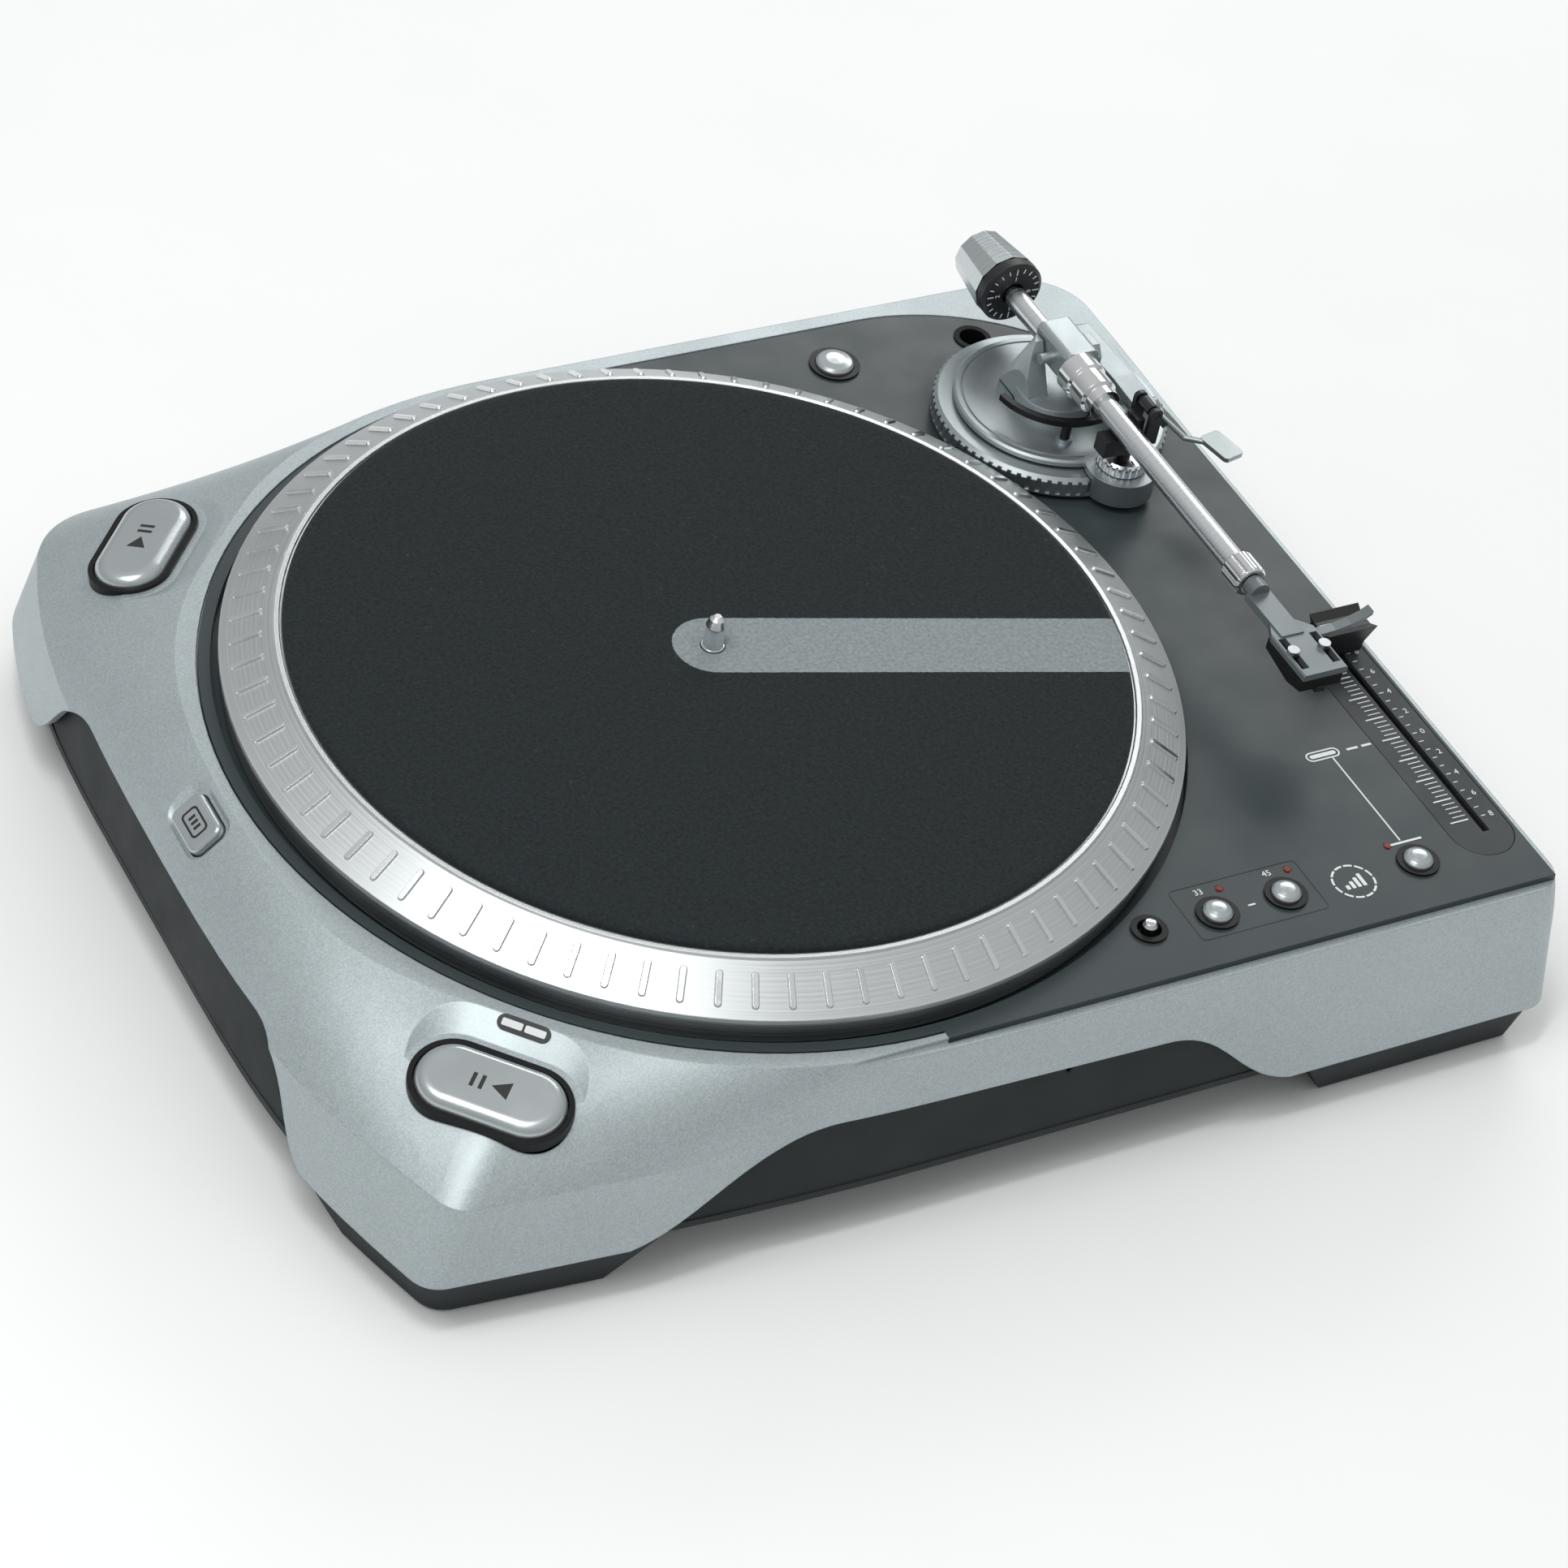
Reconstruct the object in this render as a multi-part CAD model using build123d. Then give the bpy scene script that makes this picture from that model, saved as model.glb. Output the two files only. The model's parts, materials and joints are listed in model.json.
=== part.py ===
from build123d import *
import os
from math import cos, radians, sin

# Direct-drive disc-jockey turntable with a straight tonearm. Millimetres, +Z up, the front faces -Y.
# Everything is drawn about the spindle's axis. save() then moves it so that the origin is under the
# middle of the whole machine, at the height of the surface it stands on.
SPINDLE_X, SPINDLE_Y = -25.6, 2.3

# ---- driving dimensions -------------------------------------------------------------------------
Z_FOOT = 1.5            # underside of the corner feet, on their rubber pads
Z_SKIRT = 22.0          # lower edge of the silver shell
Z_CREASE = 52.0         # where the skirt turns into the sloping flank
Z_FLANK = 67.0          # half way up the flank
Z_DECK = 77.6           # top of the deck
WALL = 3.0              # moulded wall thickness
TRAY_INSET = 4.5        # tray wall inside the shell's outer face
Z_TRAY = 60.0           # top of the tray's wall

PANEL_T = 2.5           # deck panel thickness
RING_R = 172.3          # outer radius of the deck panel round the platter
WELL_R = 168.2          # radius of the well that the platter turns in
WELL_FLOOR = 72.0
PANEL_RIGHT, PANEL_FRONT, PANEL_REAR = 239.8, -175.5, 169.5
PANEL_CORNER = 90.0     # radius of the deck panel's rear right corner
GAP = 0.7               # groove between the deck panel and the shell

PLATTER_R = 166.0
Z_RIM = 85.1            # lower edge of the platter's strobe bevel
Z_PLATTER = 95.0        # face that the slipmat lies on
BEVEL_R = 149.0         # upper edge of the strobe bevel
MAT_R, MAT_T = 145.7, 2.0
SPINDLE_R, Z_SPINDLE = 3.6, 110.0     # the pin that a record drops over
SHAFT_R = 4.0           # the shaft below the mat's top
RUN = 0.05              # radial clearance of a running fit

PIVOT_X, PIVOT_Y = 189.5, 92.5   # tonearm pivot
Z_ARM = 111.0           # height of the arm's axis
ARM_R = 4.2             # radius of the arm tube
RING_OUT, DISC_R = 44.0, 37.0    # height ring and arm base disc
Z_RING, Z_DISC = 80.0, 88.2      # undersides of the two
DISC_T = 2.4
FLUTES = 72             # round the height ring
WEIGHT_Y = 38.0         # front of the counterweight behind the pivot
STUB_Y = 36.0           # where the tube steps down to the weight's stub
SLEEVE_Y = (46.0, 56.0)          # the counterweight's nut

FADER_X, FADER_FRONT, FADER_REAR = 228.5, -149.0, -47.0
KNOB_Y, Z_KNOB = -50.0, 91.0     # pitch knob at rest, and its top
SCALE_X, SCALE_Y = 226.4, (FADER_FRONT + FADER_REAR) / 2     # middle of the pitch scale

# Body outline at three heights: (left, right, front, rear) sides, then the front left and the rear
# left corner, then the directions of the outline into and out of the front left corner, in degrees.
LEVELS = [
    (Z_SKIRT, (-200.6, 250.0, -185.6, 178.6), (-177.0, -175.0), (-181.0, 177.4), (-71, -5)),
    (Z_CREASE, (-200.0, 246.8, -182.0, 177.6), (-169.0, -171.5), (-173.0, 175.0), (-68, -5)),
    (Z_DECK, (-177.2, 242.6, -178.2, 176.2), (-125.5, -125.5), (-125.0, 125.0), (-45, -45)),
]
FLANK_BULGE = 1.5       # above the crease the outline moves in by the height's share to this power
CORNER_FRONT, CORNER_REAR = 0.13, 0.34     # how much of the sides' handles the left corners take


# ---- helpers ------------------------------------------------------------------------------------
def save(name, shape):
    export_step(Pos(SPINDLE_X, SPINDLE_Y, 0) * shape, f"parts/{name}.step")


def disc(r, z0, z1):
    return Pos(0, 0, z0) * extrude(Circle(r), z1 - z0)


def ring(r_in, r_out, z0, z1):
    return disc(r_out, z0, z1) - disc(r_in, z0 - 1, z1 + 1)


def bar(x0, x1, y0, y1, z0, z1):
    return Pos((x0 + x1) / 2, (y0 + y1) / 2, (z0 + z1) / 2) * Box(x1 - x0, y1 - y0, z1 - z0)


def rod_y(r, y0, y1):
    """A cylinder along Y, between y0 and y1, on the local Y axis."""
    return Pos(0, (y0 + y1) / 2, 0) * Rot(90, 0, 0) * Cylinder(r, y1 - y0)


def rod_x(r, x0, x1):
    return Pos((x0 + x1) / 2, 0, 0) * Rot(0, 90, 0) * Cylinder(r, x1 - x0)


def turned(points, axis=Axis.Z):
    """A solid of revolution from its (radius, height) outline."""
    return revolve(Plane.XZ * Polygon(*points, align=None), axis)


def plate_xz(face, y0, y1):
    """A face drawn in X and Z, as thick as y0 to y1."""
    return Pos(0, y0, 0) * extrude(Plane.XZ * face, y1 - y0, dir=(0, 1, 0))


def plate_yz(face, x0, x1):
    return Pos(x0, 0, 0) * extrude(Plane.YZ * face, x1 - x0, dir=(1, 0, 0))


def slab(face, z0, z1):
    return Pos(0, 0, z0) * extrude(face, z1 - z0, dir=(0, 0, 1))


def heading(angle):
    return Vector(cos(radians(angle)), sin(radians(angle)))


def lathe_y(points):
    """A turned piece about the local Y axis, from its (radius, y) outline."""
    return revolve(Polygon(*points, align=None), Axis.Y)


# ---- the body's outline -------------------------------------------------------------------------
SOFT = 0.3466           # handle length of a 45 degree arc, as a share of its chord
QUARTER = 0.5523        # handle length of a quarter circle, as a share of its radius


def corner(centre, into, out, r):
    """Control points of a quarter circle about a square corner."""
    a, b = centre - into * r, centre + out * r
    return [a, a + into * (QUARTER * r), b - out * (QUARTER * r), b]


def side_curves(level, inset):
    """Control points of the outline's pieces at one level, anticlockwise from the front's middle."""
    (left, right, front, rear), fl, rl, (a_in, a_out) = level
    left, right, front, rear = left + inset, right - inset, front + inset, rear - inset
    fl, rl = Vector(fl[0] + inset, fl[1] + inset), Vector(rl[0] + inset, rl[1] - inset)
    east, north, west, south = Vector(1, 0), Vector(0, 1), Vector(-1, 0), Vector(0, -1)
    mid_f, mid_r, mid_l = Vector(0, front), Vector(0, rear), Vector(left, 0)
    into, out = heading(a_in), heading(a_out)
    r_into, r_out = heading(180 - a_out), heading(180 - a_in)
    fr = corner(Vector(right, front), east, north, max(11 - inset, 4))
    rr = corner(Vector(right, rear), north, west, max(24 - inset, 8))
    pulls = [SOFT * (p - q).length for p, q in ((mid_r, rl), (rl, mid_l), (mid_l, fl), (fl, mid_f))]
    cut = [CORNER_REAR, CORNER_REAR, CORNER_FRONT, CORNER_FRONT]
    r0, r1, f0, f1 = [h * c for h, c in zip(pulls, cut)]
    a, b, c, d = rl - r_into * r0, rl + r_out * r1, fl - into * f0, fl + out * f1
    return [
        [mid_f, fr[0]], fr, [fr[-1], rr[0]], rr, [rr[-1], mid_r],
        [mid_r, mid_r + west * pulls[0], a - r_into * pulls[0] * 0.8, a], [a, rl, b],
        [b, b + r_out * pulls[1] * 0.8, mid_l + north * pulls[1] * 1.2, mid_l],
        [mid_l, mid_l + south * pulls[2] * 1.5, c - into * pulls[2], c], [c, fl, d],
        [d, d + out * pulls[3], mid_f + west * pulls[3], mid_f],
    ]


def outline(z, inset=0.0):
    """The body's plan at height z, a blend of the levels below and above it."""
    k = 0 if z < Z_CREASE else 1
    low, high = LEVELS[k][0], LEVELS[k + 1][0]
    share = (z - low) / (high - low)
    share = share ** FLANK_BULGE if k else share
    pairs = zip(side_curves(LEVELS[k][1:], inset), side_curves(LEVELS[k + 1][1:], inset))
    edges = []
    for lower, upper in pairs:
        points = [p + (q - p) * share for p, q in zip(lower, upper)]
        edges.append(Line(*points) if len(points) == 2 else Bezier(*points))
    return Pos(0, 0, z) * make_face(edges)


def body_solid():
    """The outside of the shell, with nothing cut out of it."""
    skirt = loft([outline(Z_SKIRT), outline(Z_CREASE)], ruled=True)
    return skirt + loft([outline(Z_CREASE), outline(Z_FLANK), outline(Z_DECK)])


def panel_outline(grow=0.0, inner=0.0):
    """The deck panel's plan: a circle round the platter and the tonearm side as a rectangle."""
    x1, y0, y1 = PANEL_RIGHT + grow - inner, PANEL_FRONT - grow + inner, PANEL_REAR + grow - inner
    side = Pos(x1 / 2, (y0 + y1) / 2) * Rectangle(x1, y1 - y0)
    side = fillet(side.vertices().group_by(Axis.X)[-1].sort_by(Axis.Y)[-1], PANEL_CORNER + grow - inner)
    return Circle(RING_R + grow - inner) + side


# ---- casing -------------------------------------------------------------------------------------
START_TILT = 12.0       # slope of the start buttons' seats, less than the flank's
START_SPOTS = ((-145.3, -142.0, 69.4, 224.0), (-151.4, 133.5, 70.6, 138.0))   # x, y, z, way downhill
START_L, START_W = 50.0, 25.0
CAP_TOP, CAP_ROUND = 3.6, 4.5      # height of a start button's cap, and the rounding of its edge


def start_frame(k):
    """The place of a start button: local x runs along the button, local -z is its push direction."""
    x, y, z, down = START_SPOTS[k]
    return Pos(x, y, z) * Rot(0, 0, down + 90) * Rot(START_TILT, 0, 0)


SIDE_SPOT = (-186.4, -2.2, 70.0)
SIDE_TILT = 42.0
SIDE_L, SIDE_W = 20.0, 13.6


def side_frame():
    return Pos(*SIDE_SPOT) * Rot(0, 0, 90) * Rot(-SIDE_TILT, 0, 0) * Rot(0, 0, 180)


def arch_front():
    rise = Bezier((-114, 21), (-86, 24), (-72, 56.5), (-38, 56.5))
    fall = Bezier((84, 53), (112, 53), (116, 23), (146, 21))
    shape = [rise, Line((-38, 56.5), (84, 53)), fall, Line((146, 21), (146, 10)),
             Line((146, 10), (-114, 10)), Line((-114, 10), (-114, 21))]
    return plate_xz(make_face(shape), -200, -170)


def arch_left():
    rise = Bezier((-120, 21), (-98, 24), (-102, 56), (-72, 56))
    fall = Bezier((64, 56), (94, 56), (90, 24), (114, 21))
    shape = [rise, Line((-72, 56), (64, 56)), fall, Line((114, 21), (114, 10)),
             Line((114, 10), (-120, 10)), Line((-120, 10), (-120, 21))]
    return plate_yz(make_face(shape), -210, -186)


REAR_WINDOW = (60.0, 196.0, 29.0, 57.0)    # x0, x1, z0, z1 of the opening for the connectors
SCREW_SPOTS = [(-176, -95), (-176, 95), (50, -173), (40, 171.5), (236, -171), (236, 140)]
SCREW_R, BOSS_R = 1.5, 4.5
LEDGE = 8.0             # how far the shell reaches in under the deck panel
ROOF = 5.6              # thickness of the shell's top round the deck panel


def start_hole(k, grow, low, high):
    return start_frame(k) * slab(SlotOverall(START_L + 2 * grow, START_W + 2 * grow), low, high)


def screw_holes(r):
    return Part() + [Pos(x, y) * disc(r, 20, 45) for x, y in SCREW_SPOTS]


def shell_hollow():
    stages = [(Z_SKIRT, WALL), (Z_CREASE, WALL), (Z_TRAY, WALL), (Z_FLANK, WALL + 1),
              (Z_DECK - ROOF, WALL + 3)]
    sections = [outline(z, inset) for z, inset in stages]
    return Part() + [loft([a, b], ruled=True) for a, b in zip(sections, sections[1:])]


def lip_cuts():
    """Lowers the shell's lip along the front and the right, where the deck's edge stands proud of it."""
    low, high = Z_DECK - PANEL_T + 0.1, Z_DECK + 1
    front = Polygon((-80, high), (-80, Z_DECK), (30, low), (300, low), (300, high), align=None)
    right = Polygon((-200, high), (-200, low), (70, low), (130, Z_DECK), (130, high), align=None)
    return plate_xz(front, -200, PANEL_FRONT) + plate_yz(right, PANEL_RIGHT, 260)


def start_dish():
    """The hollow round a start button: a level seat with a wall that slopes up towards the platter."""
    seat = Pos(0, 0.5, -1.2) * SlotOverall(START_L + 10, START_W + 9)
    wall = Pos(-1, 4.0, 4.5) * SlotOverall(START_L + 28, START_W + 30)
    return loft([seat, wall]) + start_pad(4.5, 14)


def start_pad(low, high, grow=0.0):
    return Pos(0, 4, 0) * slab(SlotOverall(START_L + 30 + grow, START_W + 27 + grow), low, high)


def side_dish():
    """The hollow round the side button, which runs on towards the rear."""
    seat = Pos(0, 0, -1.4) * RectangleRounded(SIDE_L + 3, SIDE_W + 3, 4.5)
    wall = Pos(-4, 2, 3.2) * RectangleRounded(SIDE_L + 15, SIDE_W + 11, 9)
    return loft([seat, wall])


def top_shell():
    """The silver cover: pressed down over the tray, with pads inside for everything set into it."""
    outer = body_solid()
    solid_areas = Part() + [Pos(x, y) * disc(BOSS_R, 25.2, Z_DECK) for x, y in SCREW_SPOTS]
    solid_areas += side_frame() * Pos(-3, 0, 0) * slab(RectangleRounded(40, 27, 6), -8, 6)
    solid_areas += [start_frame(k) * start_pad(-9, 14) for k in (0, 1)]
    shell = outer - (shell_hollow() - solid_areas)
    shell -= slab(panel_outline(GAP), Z_DECK - PANEL_T, Z_DECK + 5)
    shell -= slab(panel_outline(0, LEDGE), 60, Z_DECK) + disc(WELL_R + 2.2, 60, Z_DECK)
    shell -= arch_front() + arch_left() + lip_cuts()
    x0, x1, z0, z1 = REAR_WINDOW
    shell -= bar(x0, x1, 160, 200, z0, z1)
    shell -= bar(FADER_X - 8, FADER_X + 8, FADER_FRONT - 5, FADER_REAR + 5, 50, Z_DECK)
    shell -= Pos(*SOCKET_SPOT) * disc(SOCKET_R + 0.6, 50, Z_DECK)
    for k in (0, 1):
        shell -= start_frame(k) * start_dish()
        shell -= start_hole(k, 2.2, -20, 6)
    shell -= side_frame() * (slab(RectangleRounded(SIDE_L + 1, SIDE_W + 1, 3.6), -20, 8) + side_dish())
    return shell - screw_holes(SCREW_R)


def base_tray():
    def wall(z0, z1):
        outside, inside = [loft([outline(z, inset) for z in (z0, z1)], ruled=True)
                           for inset in (TRAY_INSET, TRAY_INSET + WALL)]
        return outside - inside

    floor = slab(outline(Z_SKIRT, TRAY_INSET).moved(Location((0, 0, -Z_SKIRT))), Z_SKIRT, 25)
    tray = wall(Z_SKIRT, Z_CREASE) + wall(Z_CREASE, Z_TRAY) + floor
    x0, x1, z0, z1 = REAR_WINDOW
    tray -= bar(x0 - 1, x1 + 1, 160, 200, z0 - 1, z1 + 10)
    tray -= Part() + [start_frame(k) * start_pad(-14, 20, 4) for k in (0, 1)]
    tray -= side_frame() * Pos(-3, 0, 0) * slab(RectangleRounded(44, 31, 6), -20, 8)
    tray -= Part() + [Pos(x, y) * disc(BOSS_R + 0.5, 25.1, 70) for x, y in SCREW_SPOTS]
    tray -= Part() + [bar(-60, 60, y, y + 3, 20, 30) for y in range(-40, 50, 12)]
    return tray - screw_holes(SCREW_R + 0.3)


def foot(sx, sy):
    """A corner foot: sx and sy are -1 or 1 for its side. Its inner ends slope in towards the floor."""
    top, low = outline(Z_SKIRT, 2.5), Pos(0, 0, Z_FOOT - Z_SKIRT) * outline(Z_SKIRT, 7.5)
    skirt = loft([top, low], ruled=True)
    hollow = loft([outline(Z_SKIRT, 7), Pos(0, 0, 6 - Z_SKIRT) * outline(Z_SKIRT, 11)], ruled=True)
    x_end = -98 if sx < 0 else 148
    y_end = -107 if sy < 0 else 111
    reach = 400
    in_x = Polygon((x_end, Z_SKIRT), (x_end + 14 * sx, Z_FOOT - 1), (x_end + reach * sx, Z_FOOT - 1),
                   (x_end + reach * sx, Z_SKIRT), align=None)
    in_y = Polygon((y_end, Z_SKIRT), (y_end + 21 * sy, Z_FOOT - 1), (y_end + reach * sy, Z_FOOT - 1),
                   (y_end + reach * sy, Z_SKIRT), align=None)
    corner = plate_xz(in_x, -300, 300) & plate_yz(in_y, -400, 400)
    core = Pos(4 * sx, 4 * sy, 4) * corner
    return (skirt & corner) - (hollow & core)


def corner_feet():
    return Compound([foot(sx, sy) for sx in (-1, 1) for sy in (-1, 1)])


PAD_SPOTS = [(-142, -146), (198, -146), (-146, 146), (196, 146)]


def foot_pads():
    return Compound([Pos(x, y, 0) * disc(16, 0, Z_FOOT) for x, y in PAD_SPOTS])


def case_screws():
    screw = disc(2.8, 20.4, Z_SKIRT) + disc(SCREW_R, Z_SKIRT, 40)
    return Compound([Pos(x, y, 0) * screw for x, y in SCREW_SPOTS])


# ---- deck ---------------------------------------------------------------------------------------
SMALL_BUTTONS = {"speed_33_button": (115.0, -154.3), "speed_45_button": (142.7, -153.7),
                 "pitch_range_button": (196.2, -154.4)}
LIGHT_SPOT = (88.6, -153.5)
LIGHT_R = 2.6
POWER_SPOT = (128.8, 147.7)
SOCKET_SPOT, SOCKET_R = (188.5, 147.6), 6.4
LAMP_SPOTS = [(122.0, -144.0), (149.7, -143.4), (190.0, -144.6)]
BEZEL_R, POWER_BEZEL_R = 7.6, 9.6


def bezel_spots():
    spots = [(x, y, BEZEL_R) for x, y in SMALL_BUTTONS.values()]
    return spots + [(*LIGHT_SPOT, BEZEL_R - 1.2), (*POWER_SPOT, POWER_BEZEL_R)]


def deck_panel():
    plate = slab(panel_outline(), Z_DECK - PANEL_T, Z_DECK)
    plate -= disc(WELL_R, 60, 90)
    pan = disc(WELL_R + 1.6, WELL_FLOOR - 2, Z_DECK - PANEL_T) - disc(WELL_R, WELL_FLOOR, 90)
    panel = plate + pan - disc(18, 60, 90)
    panel -= Pos(PIVOT_X, PIVOT_Y) * disc(SLEEVE_R + 4.2, 60, 90)
    panel -= Part() + [Pos(x, y) * disc(r - 1.2, 60, 90) for x, y, r in bezel_spots()]
    panel -= Pos(*SOCKET_SPOT) * disc(SOCKET_R, 60, 90)
    panel -= bar(FADER_X - 9, FADER_X + 7, FADER_FRONT - 4, FADER_REAR + 4, 60, 90)
    panel -= Pos(SCALE_X, SCALE_Y) * slab(SlotOverall(125, 24.6, rotation=90), Z_DECK - 1.1, Z_DECK + 1)
    panel -= Part() + [Pos(x, y) * disc(1.6, 60, 90) for x, y in LAMP_SPOTS]
    return panel



def button_bezels():
    """The black collars: one round each small button, just proud of the deck, and two long ones in
    the shell that the start buttons move in."""
    def collar(r):
        return ring(r - 2.2, r - 1.2, 74.4, Z_DECK) + ring(r - 2.2, r, Z_DECK, Z_DECK + 0.9)

    def long_collar(k):
        hole = slab(SlotOverall(START_L + 0.8, START_W + 0.8), -20, 8)
        return start_frame(k) * (slab(SlotOverall(START_L + 4.4, START_W + 4.4), -4.2, 0.2) - hole)

    small = [Pos(x, y) * collar(r) for x, y, r in bezel_spots()]
    return Compound([*small, long_collar(0), long_collar(1)])


def indicator_lamps():
    return Compound([Pos(x, y) * (disc(1.6, 72, Z_DECK - 0.2) + disc(1.2, 72, Z_DECK + 0.4))
                     for x, y in LAMP_SPOTS])


def dome_button(r):
    """A round push button with a domed cap, a stem and a foot that stops it under its collar."""
    cap = turned([(0, 71), (r, 71), (r, Z_DECK + 1.6), (r - 0.9, Z_DECK + 2.6), (r * 0.5, Z_DECK + 3.4),
                  (0, Z_DECK + 3.7)])
    return cap + disc(r + 1.0, 71, 72.6)


def switch_boards():
    """A push switch on its own small board under each sprung button."""
    def deck_switch(x, y):
        block = bar(-10, 10, -7, 7, 61.4, 63) + bar(-3, 3, -3, 3, 63, 67) + disc(1.6, 67, 69.3)
        return Pos(x, y) * block

    def start_switch(k):
        board = slab(RectangleRounded(36, 16, 2), -13.4, -11.8) + slab(Rectangle(6, 6), -11.8, -9)
        return start_frame(k) * (board + slab(Circle(1.8), -9, -7.8))

    spots = [*SMALL_BUTTONS.values(), POWER_SPOT]
    return Compound([deck_switch(x, y) for x, y in spots] + [start_switch(0), start_switch(1)])


def target_light():
    """The stylus lamp: a thin tube with a lens on top, which rises out of the deck."""
    tube = disc(LIGHT_R, 36, Z_DECK + 2.4) + disc(3.4, 34, 36)
    return tube + turned([(0, Z_DECK + 2.4), (LIGHT_R, Z_DECK + 2.4), (1.8, Z_DECK + 3.6), (0, Z_DECK + 4)])


def target_guide():
    """The tube that the stylus lamp slides in, under the deck."""
    return ring(LIGHT_R + RUN, 6, 62, 74.2) + ring(3.9, 6, 32, 62) + disc(6, 30, 32)


def headshell_socket():
    """A cup in the deck that stores a spare headshell."""
    cup = disc(SOCKET_R, 56, Z_DECK) + disc(SOCKET_R + 0.8, Z_DECK, Z_DECK + 0.6)
    return cup - disc(5.0, 58, 90)


# ---- pitch fader --------------------------------------------------------------------------------
def pitch_scale_plate():
    face = SlotOverall(124.4, 24.0, rotation=90)
    plate = Pos(SCALE_X, SCALE_Y) * slab(face, Z_DECK - 1.1, Z_DECK - 0.1)
    return plate - bar(FADER_X - 1.4, FADER_X + 1.4, FADER_FRONT, FADER_REAR, 60, 90)


def pitch_fader_body():
    """The sliding potentiometer: a steel channel under the slot."""
    y0, y1 = FADER_FRONT - 3, FADER_REAR + 3
    can = bar(FADER_X - 6, FADER_X + 6, y0, y1, 62, 76.2)
    return can - bar(FADER_X - 4.5, FADER_X + 4.5, y0 + 1.5, y1 - 1.5, 63.5, 75) - bar(
        FADER_X - 1.6, FADER_X + 1.6, FADER_FRONT, FADER_REAR, 70, 80)


def pitch_slider():
    """The potentiometer's wiper and its flat stem."""
    wiper = bar(FADER_X - 4.2, FADER_X + 4.2, KNOB_Y - 4, KNOB_Y + 4, 68, 73)
    return wiper + bar(FADER_X - 0.9, FADER_X + 0.9, KNOB_Y - 2, KNOB_Y + 2, 73, 84)


def pitch_knob():
    """A wide cap that flares towards its top, hollowed along the middle for a finger."""
    side = Polygon((-4.5, 78.6), (4.5, 78.6), (4.8, 83), (6.6, Z_KNOB), (3.0, Z_KNOB - 1.6),
                   (-3.0, Z_KNOB - 1.6), (-6.6, Z_KNOB), (-4.8, 83), align=None)
    cap = Pos(0, KNOB_Y) * plate_yz(side, FADER_X - 11.5, FADER_X + 11.5)
    front = Polygon((-7.6, 78), (7.6, 78), (8.0, 83), (10.8, 92), (-10.8, 92), (-8.0, 83), align=None)
    cap &= Pos(FADER_X, 0) * plate_xz(front, KNOB_Y - 10, KNOB_Y + 10)
    return cap - bar(FADER_X - 0.9, FADER_X + 0.9, KNOB_Y - 2, KNOB_Y + 2, 70, 84)


# ---- start buttons ------------------------------------------------------------------------------
def start_button(k):
    cap = slab(SlotOverall(START_L, START_W), -6, CAP_TOP)
    cap = fillet(cap.edges().group_by(Axis.Z)[-1], CAP_ROUND)
    stop = slab(SlotOverall(START_L + 2.6, START_W + 2.6), -6, -4.6)
    return start_frame(k) * (cap + stop)


def side_button():
    cap = slab(RectangleRounded(SIDE_L, SIDE_W, 3.2), -7, 1.8)
    cap = fillet(cap.edges().group_by(Axis.Z)[-1], 1.2)
    return side_frame() * cap


# ---- drive --------------------------------------------------------------------------------------
def platter():
    lip = Z_PLATTER + 0.7
    shape = [(SHAFT_R, 82), (16, 82), (18, 90), (37.5, 90.4), (48.5, 90.4), (120, 90.4), (158, 84.6),
             (158, 74), (164.4, 74), (164.4, 82.4), (PLATTER_R, 83.2), (PLATTER_R, Z_RIM),
             (BEVEL_R, 94.9), (148.4, lip), (146.8, lip), (146.4, Z_PLATTER), (SHAFT_R, Z_PLATTER)]
    return turned(shape)


def slipmat():
    return ring(SHAFT_R + 0.3, MAT_R, Z_PLATTER, Z_PLATTER + MAT_T)


def spindle():
    shoulder = Z_PLATTER + MAT_T + 0.2
    return turned([(0, 46.3), (SHAFT_R, 46.3), (SHAFT_R, shoulder), (SPINDLE_R, shoulder),
                   (SPINDLE_R, Z_SPINDLE - 4), (2.6, Z_SPINDLE - 1.2), (1.2, Z_SPINDLE), (0, Z_SPINDLE)])


def rotor_magnet():
    return ring(38.6, 48.4, 77, 90.4)


def motor_stator():
    """Nine wound poles round a hub, fixed to the well's floor."""
    coils = ring(19, 23, 74.6, 84)
    for k in range(9):
        pole = bar(22, 34, -3.2, 3.2, 75.4, 83.2) + bar(34, 37.6, -9, 9, 74.6, 84)
        coils += Rot(0, 0, 40 * k) * pole
    return (coils & disc(37.6, 70, 90)) + ring(19, 27, 72, 74.6)


def bearing_housing():
    """Spindle bearing: a brass tube with a flange under the well's floor and a closed foot."""
    tube = disc(9, 42, 80) + disc(26, 67.8, 70)
    return tube - disc(SHAFT_R + RUN, 46, 90)


def motor_board():
    return ring(27.5, 36.5, 72, 73.4) - bar(-40, 40, -2, 2, 70, 75)


# ---- electrics ----------------------------------------------------------------------------------
def main_board():
    board = bar(62, 205, -138, -62, 36, 37.6)
    chips = bar(90, 112, -120, -98, 37.6, 40) + bar(140, 165, -110, -96, 37.6, 41)
    cans = Part() + [Pos(x, -75, 0) * disc(5, 37.6, 52) for x in (75, 90, 105, 185)]
    posts = Part() + [Pos(x, y, 0) * disc(3, 25, 36) for x in (68, 199) for y in (-132, -68)]
    return board + chips + cans + posts


def power_transformer():
    core = bar(40, 96, 96, 142, 25, 62) - bar(50, 86, 95, 143, 33, 54)
    return core + bar(60, 76, 96, 142, 33, 54)


def transformer_coil():
    return bar(50.2, 85.8, 91, 147, 33.2, 53.8) - bar(60, 76, 96, 142, 33, 54) - bar(
        60, 76, 90, 148, 40, 47)


INLET_X, JACK_X, GROUND_X = 172.0, (84.0, 102.0), 128.0
CONNECTOR_Z = 43.0


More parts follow.
